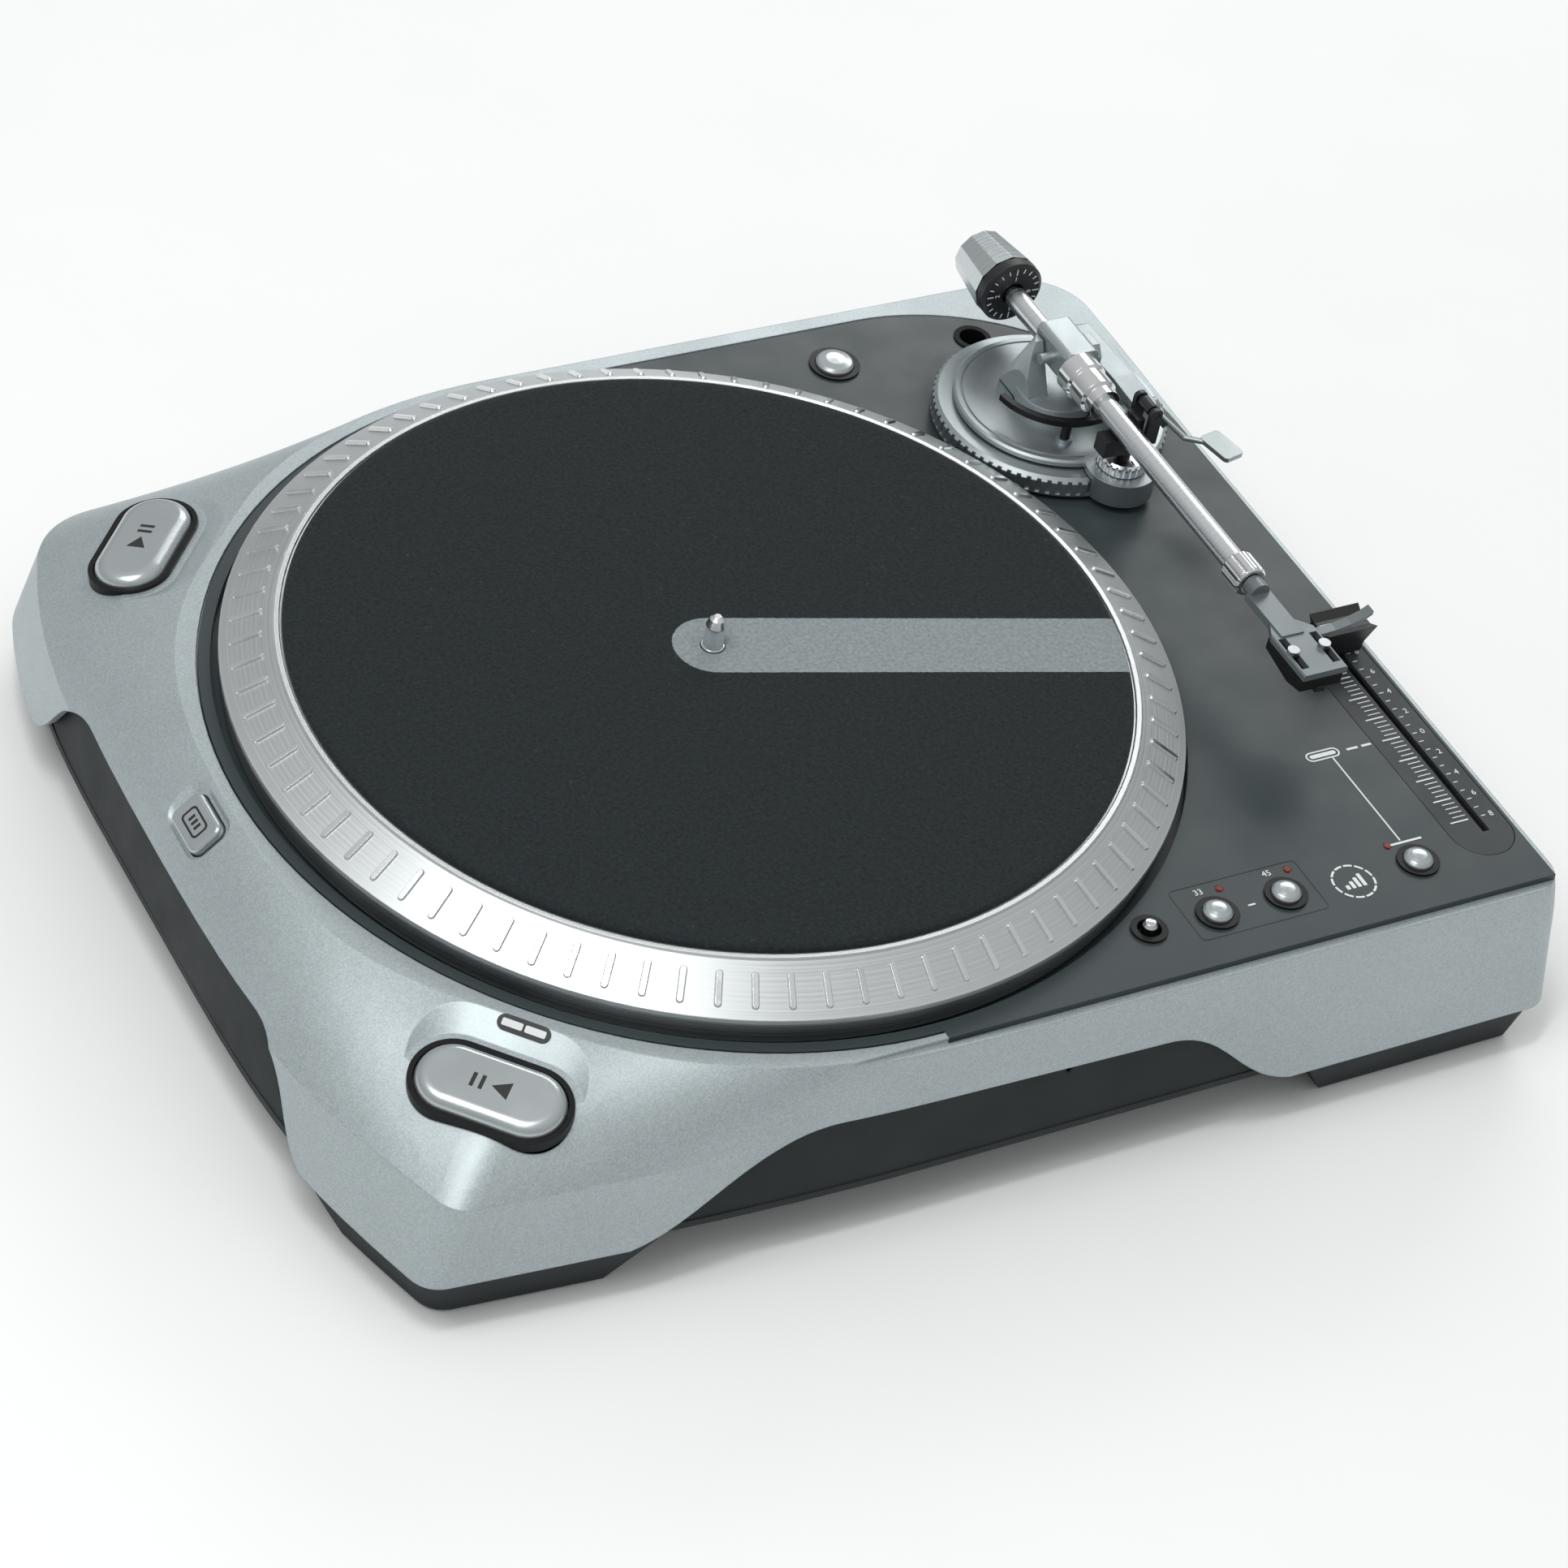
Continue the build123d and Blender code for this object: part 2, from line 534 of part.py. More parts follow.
def rear_panel():
    """A recessed tray in the back wall that carries the connectors."""
    x0, x1, z0, z1 = REAR_WINDOW
    tray = bar(x0 + 0.3, x1 - 0.3, 162, 177.4, z0 + 0.3, z1 - 0.3)
    tray -= bar(x0 + 2, x1 - 2, 164.5, 180, z0 + 2, z1 - 2)
    tray -= bar(INLET_X - 14, INLET_X + 14, 150, 170, 33, 53)
    tray -= Part() + [Pos(x, 0, CONNECTOR_Z) * rod_y(3.4, 150, 170) for x in JACK_X]
    return tray - Pos(GROUND_X, 0, CONNECTOR_Z) * rod_y(2.0, 150, 170)


def power_inlet():
    """An appliance inlet: a moulded socket with three blades in it."""
    body = bar(INLET_X - 14, INLET_X + 14, 146, 168, 33, 53)
    return body - bar(INLET_X - 11.5, INLET_X + 11.5, 152, 170, 35.5, 50.5) - inlet_blades()


def inlet_blades():
    return Part() + [bar(INLET_X + dx - 1, INLET_X + dx + 1, 144, 164, 41 + dz, 45 + dz)
                     for dx, dz in ((-7, -1), (0, 1.5), (7, -1))]


def audio_jacks():
    """Two phono sockets: a metal sleeve round an insulated pin hole."""
    shape = [(1.7, 152), (3.4, 152), (3.4, 164.5), (5.4, 164.5), (5.4, 166.5), (4.15, 166.5),
             (4.15, 174.5), (1.7, 174.5)]
    return Compound([Pos(x, 0, CONNECTOR_Z) * lathe_y(shape) for x in JACK_X])


def ground_terminal():
    """A screw post with a knurled nut for the earth wire."""
    post = lathe_y([(0, 152), (2, 152), (2, 175.5), (0, 175.5)])
    nut = lathe_y([(2, 167.5), (5.2, 167.5), (5.2, 173), (2, 173)])
    washer = lathe_y([(2, 164.5), (5, 164.5), (5, 165.7), (2, 165.7)])
    return Pos(GROUND_X, 0, CONNECTOR_Z) * (post + nut + washer)


# ---- tonearm base -------------------------------------------------------------------------------
SLEEVE_R = 28.0         # guide sleeve of the arm base
LOBE = (5.5, -41.5)     # the arm rest's lobe, from the pivot
PLUNGER = heading(250) * 24.6    # the lift bar's plunger
BRACKET_X = (15.6, 24.6)
CUE_Y, CUE_Z = -24.0, 99.0       # cross shaft of the cueing lever
LATCH_X, LATCH_Z = 10.6, 117.0   # hinge of the rest's latch
LATCH_DROP = 50.0       # how far below level the latch hangs out to the right when it is stored


def arm_base_flange():
    """The fixed foot of the tonearm: a flange on the deck and a guide tube below it."""
    return ring(SLEEVE_R + RUN, SLEEVE_R + 4.2, 56, Z_DECK) + ring(SLEEVE_R + RUN, 42, Z_DECK, Z_RING - 0.4)


def height_ring():
    """The knurled ring that raises and lowers the whole arm."""
    body = turned([(SLEEVE_R + 0.4, Z_RING), (RING_OUT, Z_RING), (RING_OUT, 85.6), (RING_OUT - 1.6, 87.4),
                   (SLEEVE_R + 0.4, 87.4)])
    groove = Part() + [Rot(0, 0, 360 / FLUTES * k) * bar(RING_OUT - 0.6, RING_OUT + 1, -0.8, 0.8, 80.6, 88)
                       for k in range(FLUTES)]
    return body - groove


def arm_base_disc():
    """The part of the arm base that rises: a disc on a guide sleeve, with the rest's lobe in front."""
    top = Z_DISC + DISC_T
    plate = turned([(15.2, Z_DISC), (DISC_R, Z_DISC), (DISC_R, top - 0.8), (DISC_R - 0.8, top),
                    (15.2, top)])
    plate -= ring(33.6, 34.4, top - 0.5, top + 1)
    sleeve = ring(22, SLEEVE_R, 58, Z_DISC)
    web = ring(8.05, 22, 66, 69)
    lobe = Pos(*LOBE) * disc(13.5, 81, top) - disc(RING_OUT + 0.7, 70, Z_DISC)
    base = plate + sleeve + web + lobe - Pos(*LOBE) * disc(2.5, 70, 100)
    return base + Pos(*PLUNGER) * disc(3.1, 74, 92.4) - Pos(*PLUNGER) * disc(1.8 + RUN, 60, 100)


def side_bracket():
    """A long cover on the right of the arm base that holds the rest and the cueing lever."""
    top = Z_DISC + DISC_T
    side = Polygon((-31, top), (26, top), (26, 101), (21, 104.6), (-12, 106), (-31, 105.4), align=None)
    cover = plate_yz(side, *BRACKET_X)
    cover = fillet(cover.edges().filter_by(Axis.Z).group_by(Axis.Y)[-1], 4.2)
    cover = fillet(cover.edges().filter_by(Axis.Z).group_by(Axis.Y)[0], 3.0)
    return cover - Pos(0, CUE_Y, CUE_Z) * rod_x(2.2 + RUN, 10, 30)


def cue_lever():
    """A cross shaft through the bracket with a bent wire arm and a flat finger tab."""
    shaft = Pos(0, CUE_Y, CUE_Z) * rod_x(2.2, 12.4, 26.4)
    cam = Pos(0, CUE_Y, CUE_Z) * rod_x(3.4, 11.0, 14.8)
    hub = Pos(0, CUE_Y, CUE_Z) * rod_x(3.6, 25.0, 28.6)
    start, bend_, end = (26.8, CUE_Y, CUE_Z), (27.5, -46, 101.4), (33.5, -51.5, 102.2)
    wire = Part()
    for a, b in ((start, bend_), (bend_, end)):
        line = Line(a, b)
        wire += sweep(Plane(origin=a, z_dir=Vector(b) - Vector(a)) * Circle(1.1), path=line)
    wire += Pos(*bend_) * Sphere(1.1)
    tab = Pos(37.5, -55.5, 102.4) * Rot(0, 0, 12) * Box(9, 15, 1.8)
    tab = fillet(tab.edges().filter_by(Axis.Z), 1.6)
    return shaft + cam + hub + wire + tab


def lift_bar():
    """The curved bar that lifts the arm, on a plunger through the disc."""
    arc = ring(23.7, 26.3, 98, 100.4)
    wedge = Polygon((0, 0), *[tuple(heading(a) * 60) for a in (186, 215, 245, 285)], align=None)
    return (arc & slab(wedge, 90, 110)) + Pos(*PLUNGER) * disc(1.8, 80, 98.5)


def rest_post():
    """The black arm rest: a post through its dial, with an open fork that holds the tube."""
    post = Pos(*LOBE) * disc(2.5, Z_DISC, 99)
    block = bar(-6.6, 6.6, -45.5, -38.5, 99, 106.2)
    fork = bar(ARM_R + 0.6, 8.0, -45.5, -38.5, 104, 114)
    cut = Pos(0, 0, Z_ARM) * rod_y(ARM_R + 0.35, -50, -30)
    slope = bar(-8, 0, -50, -30, Z_ARM - 3.2, 120)
    rest = post + block + fork - cut - slope - bar(-8, ARM_R + 0.35, -50, -30, Z_ARM, 120)
    ears = bar(8.0, 13, -48.4, -46.6, 105, 119.4) + bar(8.0, 13, -37.4, -35.6, 105, 119.4)
    ears = fillet(ears.edges().filter_by(Axis.Y).group_by(Axis.Z)[-1], 2.0)
    ears += bar(7.0, 13, -48.4, -35.6, 104, 107.4)
    return rest + ears - Pos(LATCH_X, 0, LATCH_Z) * rod_y(1.2 + RUN, -50, -34)


def rest_clip():
    """The latch that folds over the tube. It is stored open, hanging out to the right."""
    pin = rod_y(1.2, -48.2, -35.8)
    eye = rod_y(2.3, -45.2, -38.8)
    tongue = bar(0, 11.6, -45.2, -38.8, -1.1, 1.1) + bar(10.2, 11.6, -45.2, -38.8, 0, 1.3)
    return Pos(LATCH_X, 0, LATCH_Z) * Rot(0, LATCH_DROP, 0) * (pin + eye + tongue)


def anti_skate_dial():
    top = Z_DISC + DISC_T
    knob = turned([(2.7, top + 0.3), (9.0, top + 0.3), (9.4, top + 1.2), (9.4, top + 4.4),
                   (8.4, top + 5.4), (2.7, top + 5.4)])
    grip = Part() + [Rot(0, 0, 15 * k) * Pos(9.6, 0) * disc(0.7, top, top + 5.6) for k in range(24)]
    return Pos(*LOBE) * (knob - grip)


# ---- tonearm ------------------------------------------------------------------------------------
HEAD_X, HEAD_Y = 1.5, -182.0     # middle and front edge of the headshell's plate, from the pivot
SCREW_X, SCREW_Y = (HEAD_X - 6.4, HEAD_X + 6.4), -170.0


def arm_yoke():
    """Turns about the upright axis: a turntable with a fin on its left and a cheek on its right."""
    low = Z_DISC + DISC_T + 0.5
    base = disc(15, low, 96)
    fin = Pos(0, 3, 0) * Solid.make_cone(19, 9.5, 23).moved(Location((0, 0, low)))
    fin &= bar(-14, -5.6, -7, 21, low, 116)
    nose = Polygon((-7, low), (21, low), (21, 104), (13, 117), (8, 117), align=None)
    fin &= plate_yz(nose, -20, 0)
    cheek = Polygon((-6.5, low), (6.5, low), (6.5, 112), (3.5, 116), (-3.5, 116), (-6.5, 112), align=None)
    cheek = plate_yz(cheek, 9.6, 12.6)
    shaft = disc(8, 62, low + 1)
    yoke = base + fin + cheek + shaft
    return yoke - Pos(0, 0, Z_ARM) * rod_x(2.0 + RUN, -12, 14)


def swing_bearing():
    """The bearing between the arm base and the turning yoke."""
    return ring(8 + RUN, 15.2, 82, Z_DISC + 1.6) + ring(15.2, 21.4, 82, 84)


def bearing_block():
    """Tilts with the arm: the block that the tube runs through, with a pivot pin on each side."""
    block = bar(-5, 9, -9, 12, Z_ARM - 6.2, Z_ARM + 7.2)
    block = fillet(block.edges().filter_by(Axis.Y), 2.6)
    block += Pos(0, 0, Z_ARM) * (rod_x(2.0, -10, 0) + rod_x(2.0, 0, 12.9))
    return block - Pos(0, 0, Z_ARM) * rod_y(ARM_R, -30, 30)


def arm_collars():
    """Chrome collars round the tube in front of the bearing."""
    shape = [(ARM_R, -31), (6.2, -31), (6.2, -27), (7.4, -26), (7.4, -18), (8.2, -17), (8.2, -10),
             (7.4, -9), (ARM_R, -9)]
    return Pos(0, 0, Z_ARM) * lathe_y(shape)


def arm_tube():
    return Pos(0, 0, Z_ARM) * (rod_y(ARM_R, -131, STUB_Y) - rod_y(ARM_R - 1, -132, -20)
                               + rod_y(3.2, STUB_Y, WEIGHT_Y + 18))


def locking_collar():
    """The knurled nut that holds the headshell."""
    shape = [(ARM_R + RUN, -134), (5.4, -134), (6.2, -133), (6.2, -124), (5.4, -123), (ARM_R + RUN, -123)]
    nut = lathe_y(shape)
    for k in range(12):
        nut -= Rot(0, 30 * k, 0) * Pos(6.5, 0, 0) * rod_y(0.7, -135, -122)
    return Pos(0, 0, Z_ARM) * nut


def headshell():
    """A slotted plate on a neck, with the finger lift curving out to the right."""
    neck = Pos(0, 0, Z_ARM) * rod_y(3.8, -140, -134.2)
    spine = bar(-4.6, 4.6, -162, -138, Z_ARM - 3.4, Z_ARM - 0.2)
    low, high = HEAD_X - 9, HEAD_X + 9
    plan = Polygon((-4.6, -154), (low, -160), (low, HEAD_Y), (high, HEAD_Y), (high, -160), (4.6, -154),
                   align=None)
    plate = slab(plan, Z_ARM - 3.4, Z_ARM - 0.8)
    plate = chamfer(plate.faces().sort_by(Axis.Z)[-1].edges().filter_by(Axis.Y), 0.5)
    for x in SCREW_X:
        plate -= bar(x - 1.5, x + 1.5, HEAD_Y + 3.5, -162.5, 90, 120)
    lift = Part()
    path = [(high - 0.1, 0), (17, 0.4), (23, 1.6), (28, 3.4), (31.2, 5.4)]
    for (x0, z0), (x1, z1) in zip(path, path[1:]):
        rib = Polygon((x0, z0 - 0.8), (x1, z1 - 0.8), (x1, z1 + 0.8), (x0, z0 + 0.8), align=None)
        lift += Pos(0, 0, Z_ARM - 2.1) * plate_xz(rib, -164.2, -160.4)
    return neck + spine + plate + lift


def cartridge():
    """The pickup body under the headshell, narrowing towards the stylus."""
    front, rear = HEAD_Y + 1, HEAD_Y + 24
    side = Polygon((front, 107.6), (rear, 107.6), (rear, 103), (front + 8, 100.2), (front, 102), align=None)
    body = plate_yz(side, HEAD_X - 8.4, HEAD_X + 8.4)
    body -= Part() + [Pos(x, SCREW_Y) * disc(1.2, 103.5, 110) for x in SCREW_X]
    return body - bar(HEAD_X - 2.1, HEAD_X + 2.1, front - 2, front + 11, 97, 102.9)


def stylus():
    """The replaceable stylus holder and its cantilever, a little above the mat when the arm is parked."""
    front = HEAD_Y + 0.5
    holder = bar(-2, 2, front, front + 11.3, 100.5, 102.8)
    lever = Polygon((front + 2, 100.5), (front + 5.5, 100.5), (front + 1.6, 99.4), (front + 1, 99.4),
                    align=None)
    return Pos(HEAD_X, 0) * (holder + plate_yz(lever, -0.5, 0.5))


def cartridge_screws():
    screw = disc(1.2, 103.5, Z_ARM - 0.8) + disc(2.2, Z_ARM - 0.8, Z_ARM + 0.8)
    return Compound([Pos(x, SCREW_Y) * screw for x in SCREW_X])


def weight_sleeve():
    """The nut inside the counterweight that follows the thread of the tube's rear stub."""
    y0, y1 = SLEEVE_Y
    return Pos(0, 0, Z_ARM) * lathe_y([(3.2 + RUN, y0), (6, y0), (6, y1), (3.2 + RUN, y1)])


def counterweight():
    """A faceted weight that tapers to the rear, bored for its sleeve and the stub."""
    y0, y1 = WEIGHT_Y + 5.2, WEIGHT_Y + 26.0
    body = Plane(origin=(0, y0, 0), z_dir=(0, 1, 0)) * RegularPolygon(13.2, 12)
    rear = Plane(origin=(0, y1, 0), z_dir=(0, 1, 0)) * RegularPolygon(10.4, 12)
    weight = loft([body, rear], ruled=True)
    bore = rod_y(4.6, y0 - 1, y1 - 2) + rod_y(6 + RUN, SLEEVE_Y[0] - 0.1, SLEEVE_Y[1] + 0.1)
    return Pos(0, 0, Z_ARM) * (weight - bore)


def force_dial():
    """The ring in front of the weight that shows the tracking force."""
    shape = [(4.6, WEIGHT_Y), (11.4, WEIGHT_Y), (12.7, WEIGHT_Y + 1), (12.7, WEIGHT_Y + 4.9),
             (4.6, WEIGHT_Y + 4.9)]
    return Pos(0, 0, Z_ARM) * lathe_y(shape)


# ---- write every piece --------------------------------------------------------------------------
os.makedirs("parts", exist_ok=True)

for piece in (top_shell, base_tray, corner_feet, foot_pads, case_screws, deck_panel, button_bezels,
              indicator_lamps, switch_boards, pitch_scale_plate, pitch_fader_body, pitch_slider,
              pitch_knob, side_button, platter, slipmat, spindle, rotor_magnet, motor_stator,
              bearing_housing, motor_board, main_board, power_transformer, transformer_coil,
              rear_panel, power_inlet, inlet_blades, audio_jacks, ground_terminal):
    save(piece.__name__, piece())

save("start_button_front", start_button(0))
save("start_button_rear", start_button(1))
for name, (x, y) in SMALL_BUTTONS.items():
    save(name, Pos(x, y) * dome_button(5.2))
save("power_button", Pos(*POWER_SPOT) * dome_button(7.2))
save("target_light", Pos(*LIGHT_SPOT) * target_light())
save("target_guide", Pos(*LIGHT_SPOT) * target_guide())
save("headshell_socket", Pos(*SOCKET_SPOT) * headshell_socket())

for piece in (arm_base_flange, height_ring, arm_base_disc, side_bracket, cue_lever, lift_bar, rest_post,
              rest_clip, anti_skate_dial, arm_yoke, swing_bearing, bearing_block,
              arm_collars, arm_tube, locking_collar, headshell, cartridge, stylus,
              cartridge_screws, weight_sleeve, counterweight, force_dial):
    save(piece.__name__, Pos(PIVOT_X, PIVOT_Y) * piece())
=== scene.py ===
import json
import math

import bmesh
import bpy
from mathutils import Matrix, Vector


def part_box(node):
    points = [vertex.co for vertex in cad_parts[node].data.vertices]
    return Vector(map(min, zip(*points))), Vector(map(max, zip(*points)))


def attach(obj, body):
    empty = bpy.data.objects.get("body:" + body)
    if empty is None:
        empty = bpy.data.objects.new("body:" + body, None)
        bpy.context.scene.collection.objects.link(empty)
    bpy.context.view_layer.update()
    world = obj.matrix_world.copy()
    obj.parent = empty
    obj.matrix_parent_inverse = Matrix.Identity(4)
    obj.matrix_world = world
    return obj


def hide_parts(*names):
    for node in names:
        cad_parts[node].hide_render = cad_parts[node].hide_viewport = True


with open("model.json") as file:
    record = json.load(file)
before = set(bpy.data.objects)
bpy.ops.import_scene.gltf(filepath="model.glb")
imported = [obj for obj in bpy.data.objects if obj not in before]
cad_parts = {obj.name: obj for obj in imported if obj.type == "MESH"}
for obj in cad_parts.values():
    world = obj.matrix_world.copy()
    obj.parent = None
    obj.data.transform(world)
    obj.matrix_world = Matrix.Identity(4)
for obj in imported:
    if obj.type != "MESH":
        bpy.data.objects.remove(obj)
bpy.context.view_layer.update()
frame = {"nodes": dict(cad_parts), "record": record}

# A direct-drive disc-jockey turntable. Lengths are in millimetres and turned into metres by MM, and
# places on the deck are measured from the spindle, as in the CAD model.
MM = 0.001
record = frame["record"]
joints = {j["name"]: j for j in record["behaviour"]["joints"]}
mounts = {m["name"]: m for m in record["mounts"]}
SPINDLE = Vector(mounts["record_spindle"]["pos_m"])
PIVOT = Vector(joints["arm_tilt"]["pos_m"])
DECK_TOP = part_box("deck_panel")[1].z
INK = 0.10          # how thick a printed mark is
LIFT = 0.02         # how far a print's underside is kept off the surface
BEVEL_LOW, BEVEL_HIGH = (166.0, 85.1), (149.0, 94.9)     # radius and height of the bevel's edges
BEVEL_SLOPE = math.atan2(BEVEL_HIGH[1] - BEVEL_LOW[1], BEVEL_LOW[0] - BEVEL_HIGH[0])


# ---- camera, floor and light ---------------------------------------------------------------------
LENS = 108.99
CAMERA_PLACE = (-708.66, -1019.45, 1136.54)
CAMERA_RIGHT = (0.87737, -0.45483, 0.15271)
CAMERA_UP = (0.20954, 0.64959, 0.73082)
CAMERA_BACK = (-0.43161, -0.60922, 0.66525)


def make_camera():
    camera = bpy.data.objects.new("camera", bpy.data.cameras.new("camera"))
    bpy.context.scene.collection.objects.link(camera)
    camera.data.lens = LENS
    camera.data.sensor_width = 36
    turn = Matrix((CAMERA_RIGHT, CAMERA_UP, CAMERA_BACK)).transposed().to_4x4()
    camera.matrix_world = Matrix.Translation(Vector(CAMERA_PLACE) * MM) @ turn
    camera.data.clip_end = 50
    bpy.context.scene.camera = camera


def soft_light(name, place, aim, size, power):
    light = bpy.data.objects.new(name, bpy.data.lights.new(name, "AREA"))
    light.data.shape = "RECTANGLE"
    light.data.size, light.data.size_y = size
    light.data.energy = power
    light.location = place
    light.rotation_mode = "QUATERNION"
    light.rotation_quaternion = (Vector(aim) - Vector(place)).to_track_quat("-Z", "Y")
    bpy.context.scene.collection.objects.link(light)


def bevel_light(azimuth, reach):
    """The place of a light whose reflection in the platter's bevel the camera sees at an azimuth."""
    a = math.radians(azimuth)
    out = math.sin(BEVEL_SLOPE)
    normal = Vector((math.cos(a) * out, math.sin(a) * out, math.cos(BEVEL_SLOPE)))
    away = Vector(CAMERA_BACK)
    spot = SPINDLE + Vector((math.cos(a), math.sin(a), 0)) * (BEVEL_LOW[0] * MM)
    return spot + (2 * normal.dot(away) * normal - away) * reach


HORIZON = (0.50, 0.53, 0.54, 1)
SKY_POWER = 0.62
LIGHT_AIM = (0, 0, 0.06)       # the lights, their places and sizes are in metres


def make_studio():
    """White surroundings that darken towards the horizon, a floor and three soft lights."""
    world = bpy.data.worlds.new("studio")
    bpy.context.scene.world = world
    world.use_nodes = True
    nodes, links = world.node_tree.nodes, world.node_tree.links
    place = nodes.new("ShaderNodeTexCoord")
    split = nodes.new("ShaderNodeSeparateXYZ")
    ramp = nodes.new("ShaderNodeValToRGB")
    ramp.color_ramp.elements[0].position, ramp.color_ramp.elements[0].color = 0.0, HORIZON
    ramp.color_ramp.elements[1].position, ramp.color_ramp.elements[1].color = 0.75, (1, 1, 1, 1)
    links.new(place.outputs["Generated"], split.inputs[0])
    links.new(split.outputs["Z"], ramp.inputs["Fac"])
    links.new(ramp.outputs["Color"], nodes["Background"].inputs["Color"])
    nodes["Background"].inputs["Strength"].default_value = SKY_POWER

    soft_light("key", (-0.9, -0.3, 1.7), LIGHT_AIM, (1.1, 0.8), 11)
    soft_light("strip", bevel_light(-132.2, 2.0), (-0.13, -0.115, 0.09), (0.12, 0.45), 7)
    soft_light("rim", (1.2, 1.3, 1.1), LIGHT_AIM, (1.2, 0.6), 9)

    bm = bmesh.new()
    bmesh.ops.create_grid(bm, x_segments=2, y_segments=2, size=6)
    mesh = bpy.data.meshes.new("floor")
    bm.to_mesh(mesh)
    bm.free()
    floor = bpy.data.objects.new("floor", mesh)
    bpy.context.scene.collection.objects.link(floor)
    floor.data.materials.append(plain("floor_paper", (247, 248, 248), 0.9, spread=0.006))
    bpy.context.scene.view_settings.view_transform = "Standard"


# ---- materials -----------------------------------------------------------------------------------
def linear(colour):
    """A screen colour from 0 to 255 as the renderer's linear one."""
    parts = [c / 255 for c in colour]
    return [c / 12.92 if c <= 0.04045 else ((c + 0.055) / 1.055) ** 2.4 for c in parts] + [1.0]


class Surface:
    """One node material about the Principled shader."""

    def __init__(self, name, rough, metal=0.0, **constants):
        self.material = bpy.data.materials.new(name)
        self.material.use_nodes = True
        self.nodes, self.links = self.material.node_tree.nodes, self.material.node_tree.links
        self.shader = self.nodes["Principled BSDF"]
        self.set("Roughness", rough)
        self.set("Metallic", metal)
        for socket, value in constants.items():
            self.set(socket.replace("_", " "), value)
        self.place = self.nodes.new("ShaderNodeTexCoord").outputs["Object"]

    def set(self, socket, value):
        self.shader.inputs[socket].default_value = value

    def feed(self, socket, value):
        """A socket's input: a link from another node's output, or a plain value."""
        if hasattr(value, "is_output"):
            self.links.new(value, socket)
        else:
            socket.default_value = value

    def add(self, kind, inputs=None, **settings):
        node = self.nodes.new("ShaderNode" + kind)
        for key, value in settings.items():
            setattr(node, key, value)
        for key, value in (inputs or {}).items():
            self.feed(node.inputs[key], value)
        return node

    def math(self, operation, a, b=0.0, c=0.0):
        return self.add("Math", {0: a, 1: b, 2: c}, operation=operation).outputs[0]

    def noise(self, scale, detail=2.0, at=None, rough=0.5):
        inputs = {"Vector": at or self.place, "Scale": scale, "Detail": detail, "Roughness": rough}
        return self.add("TexNoise", inputs).outputs["Fac"]

    def stretched(self, factors):
        """The place with each direction scaled, for grain that runs one way."""
        return self.add("VectorMath", {0: self.place, 1: factors}, operation="MULTIPLY").outputs[0]

    def range(self, value, low, high):
        """A 0 to 1 pattern as one from low to high."""
        return self.add("MapRange", {"Value": value, "From Min": 0.3, "From Max": 0.7, "To Min": low,
                                     "To Max": high}).outputs[0]

    def mix(self, share, a, b):
        node = self.add("Mix", {"Factor": share}, data_type="RGBA")
        self.feed(node.inputs[6], a)
        self.feed(node.inputs[7], b)
        return node.outputs[2]

    def colour(self, value):
        self.links.new(value, self.shader.inputs["Base Color"])

    def rough(self, value):
        self.links.new(value, self.shader.inputs["Roughness"])

    def bump(self, height, distance, strength=1.0, edge=0.0):
        """Fine relief of that depth in millimetres, over edges rounded to a radius."""
        inputs = {"Height": height, "Distance": distance * MM, "Strength": strength}
        if edge:
            inputs["Normal"] = self.add("Bevel", {"Radius": edge * MM}, samples=4).outputs[0]
        node = self.add("Bump", inputs)
        self.links.new(node.outputs[0], self.shader.inputs["Normal"])


def moulded(name, colour, rough, metal=0.0, grain=0.03, edge=0.4, spread=0.08, **constants):
    """Paint or plastic: cloudy colour and gloss, with a fine grain."""
    s = Surface(name, rough, metal, **constants)
    base = Vector(linear(colour)[:3])
    cloud = s.range(s.noise(14, 3), 0, 1)
    s.colour(s.mix(cloud, [*base * (1 - spread), 1], [*base * (1 + spread), 1]))
    s.rough(s.math("ADD", s.range(s.noise(55, 4), rough - 0.05, rough + 0.05),
                   s.range(s.noise(6, 2), -0.03, 0.03)))
    s.bump(s.noise(2600, 2), grain, edge=edge)
    return s.material


def plain(name, colour, rough, spread=0.05):
    """A quiet surface with only a little unevenness, for ink, floor and hidden pieces."""
    return moulded(name, colour, rough, grain=0.015, edge=0.0, spread=spread)


def flake_paint(name, colour, rough):
    """Silver lacquer: fine metal flakes under a thin clear coat, a little duller where hands rub it."""
    s = Surface(name, rough, 0.45, Coat_Weight=0.12, Coat_Roughness=0.25)
    base = Vector(linear(colour)[:3])
    flake = s.add("TexVoronoi", {"Vector": s.place, "Scale": 2400.0}).outputs["Color"]
    glint = s.add("SeparateColor", {"Color": flake}).outputs[0]
    cloud = s.math("ADD", s.range(s.noise(9, 3), -0.25, 0.25), glint)
    s.colour(s.mix(cloud, [*base * 0.86, 1], [*base * 1.14, 1]))
    s.rough(s.math("ADD", s.range(s.noise(30, 4), rough - 0.04, rough + 0.05),
                   s.math("MULTIPLY", glint, 0.06)))
    s.bump(s.noise(900, 3), 0.02, edge=0.7)
    return s.material


def from_axis(s, centre, axis):
    """Distance from a turning axis through centre, for lathe marks."""
    away = s.add("VectorMath", {0: s.place, 1: tuple(centre)}, operation="SUBTRACT").outputs[0]
    across = tuple(0.0 if i == axis else 1.0 for i in range(3))
    flat = s.add("VectorMath", {0: away, 1: across}, operation="MULTIPLY").outputs[0]
    return s.add("VectorMath", {0: flat}, operation="LENGTH").outputs["Value"]


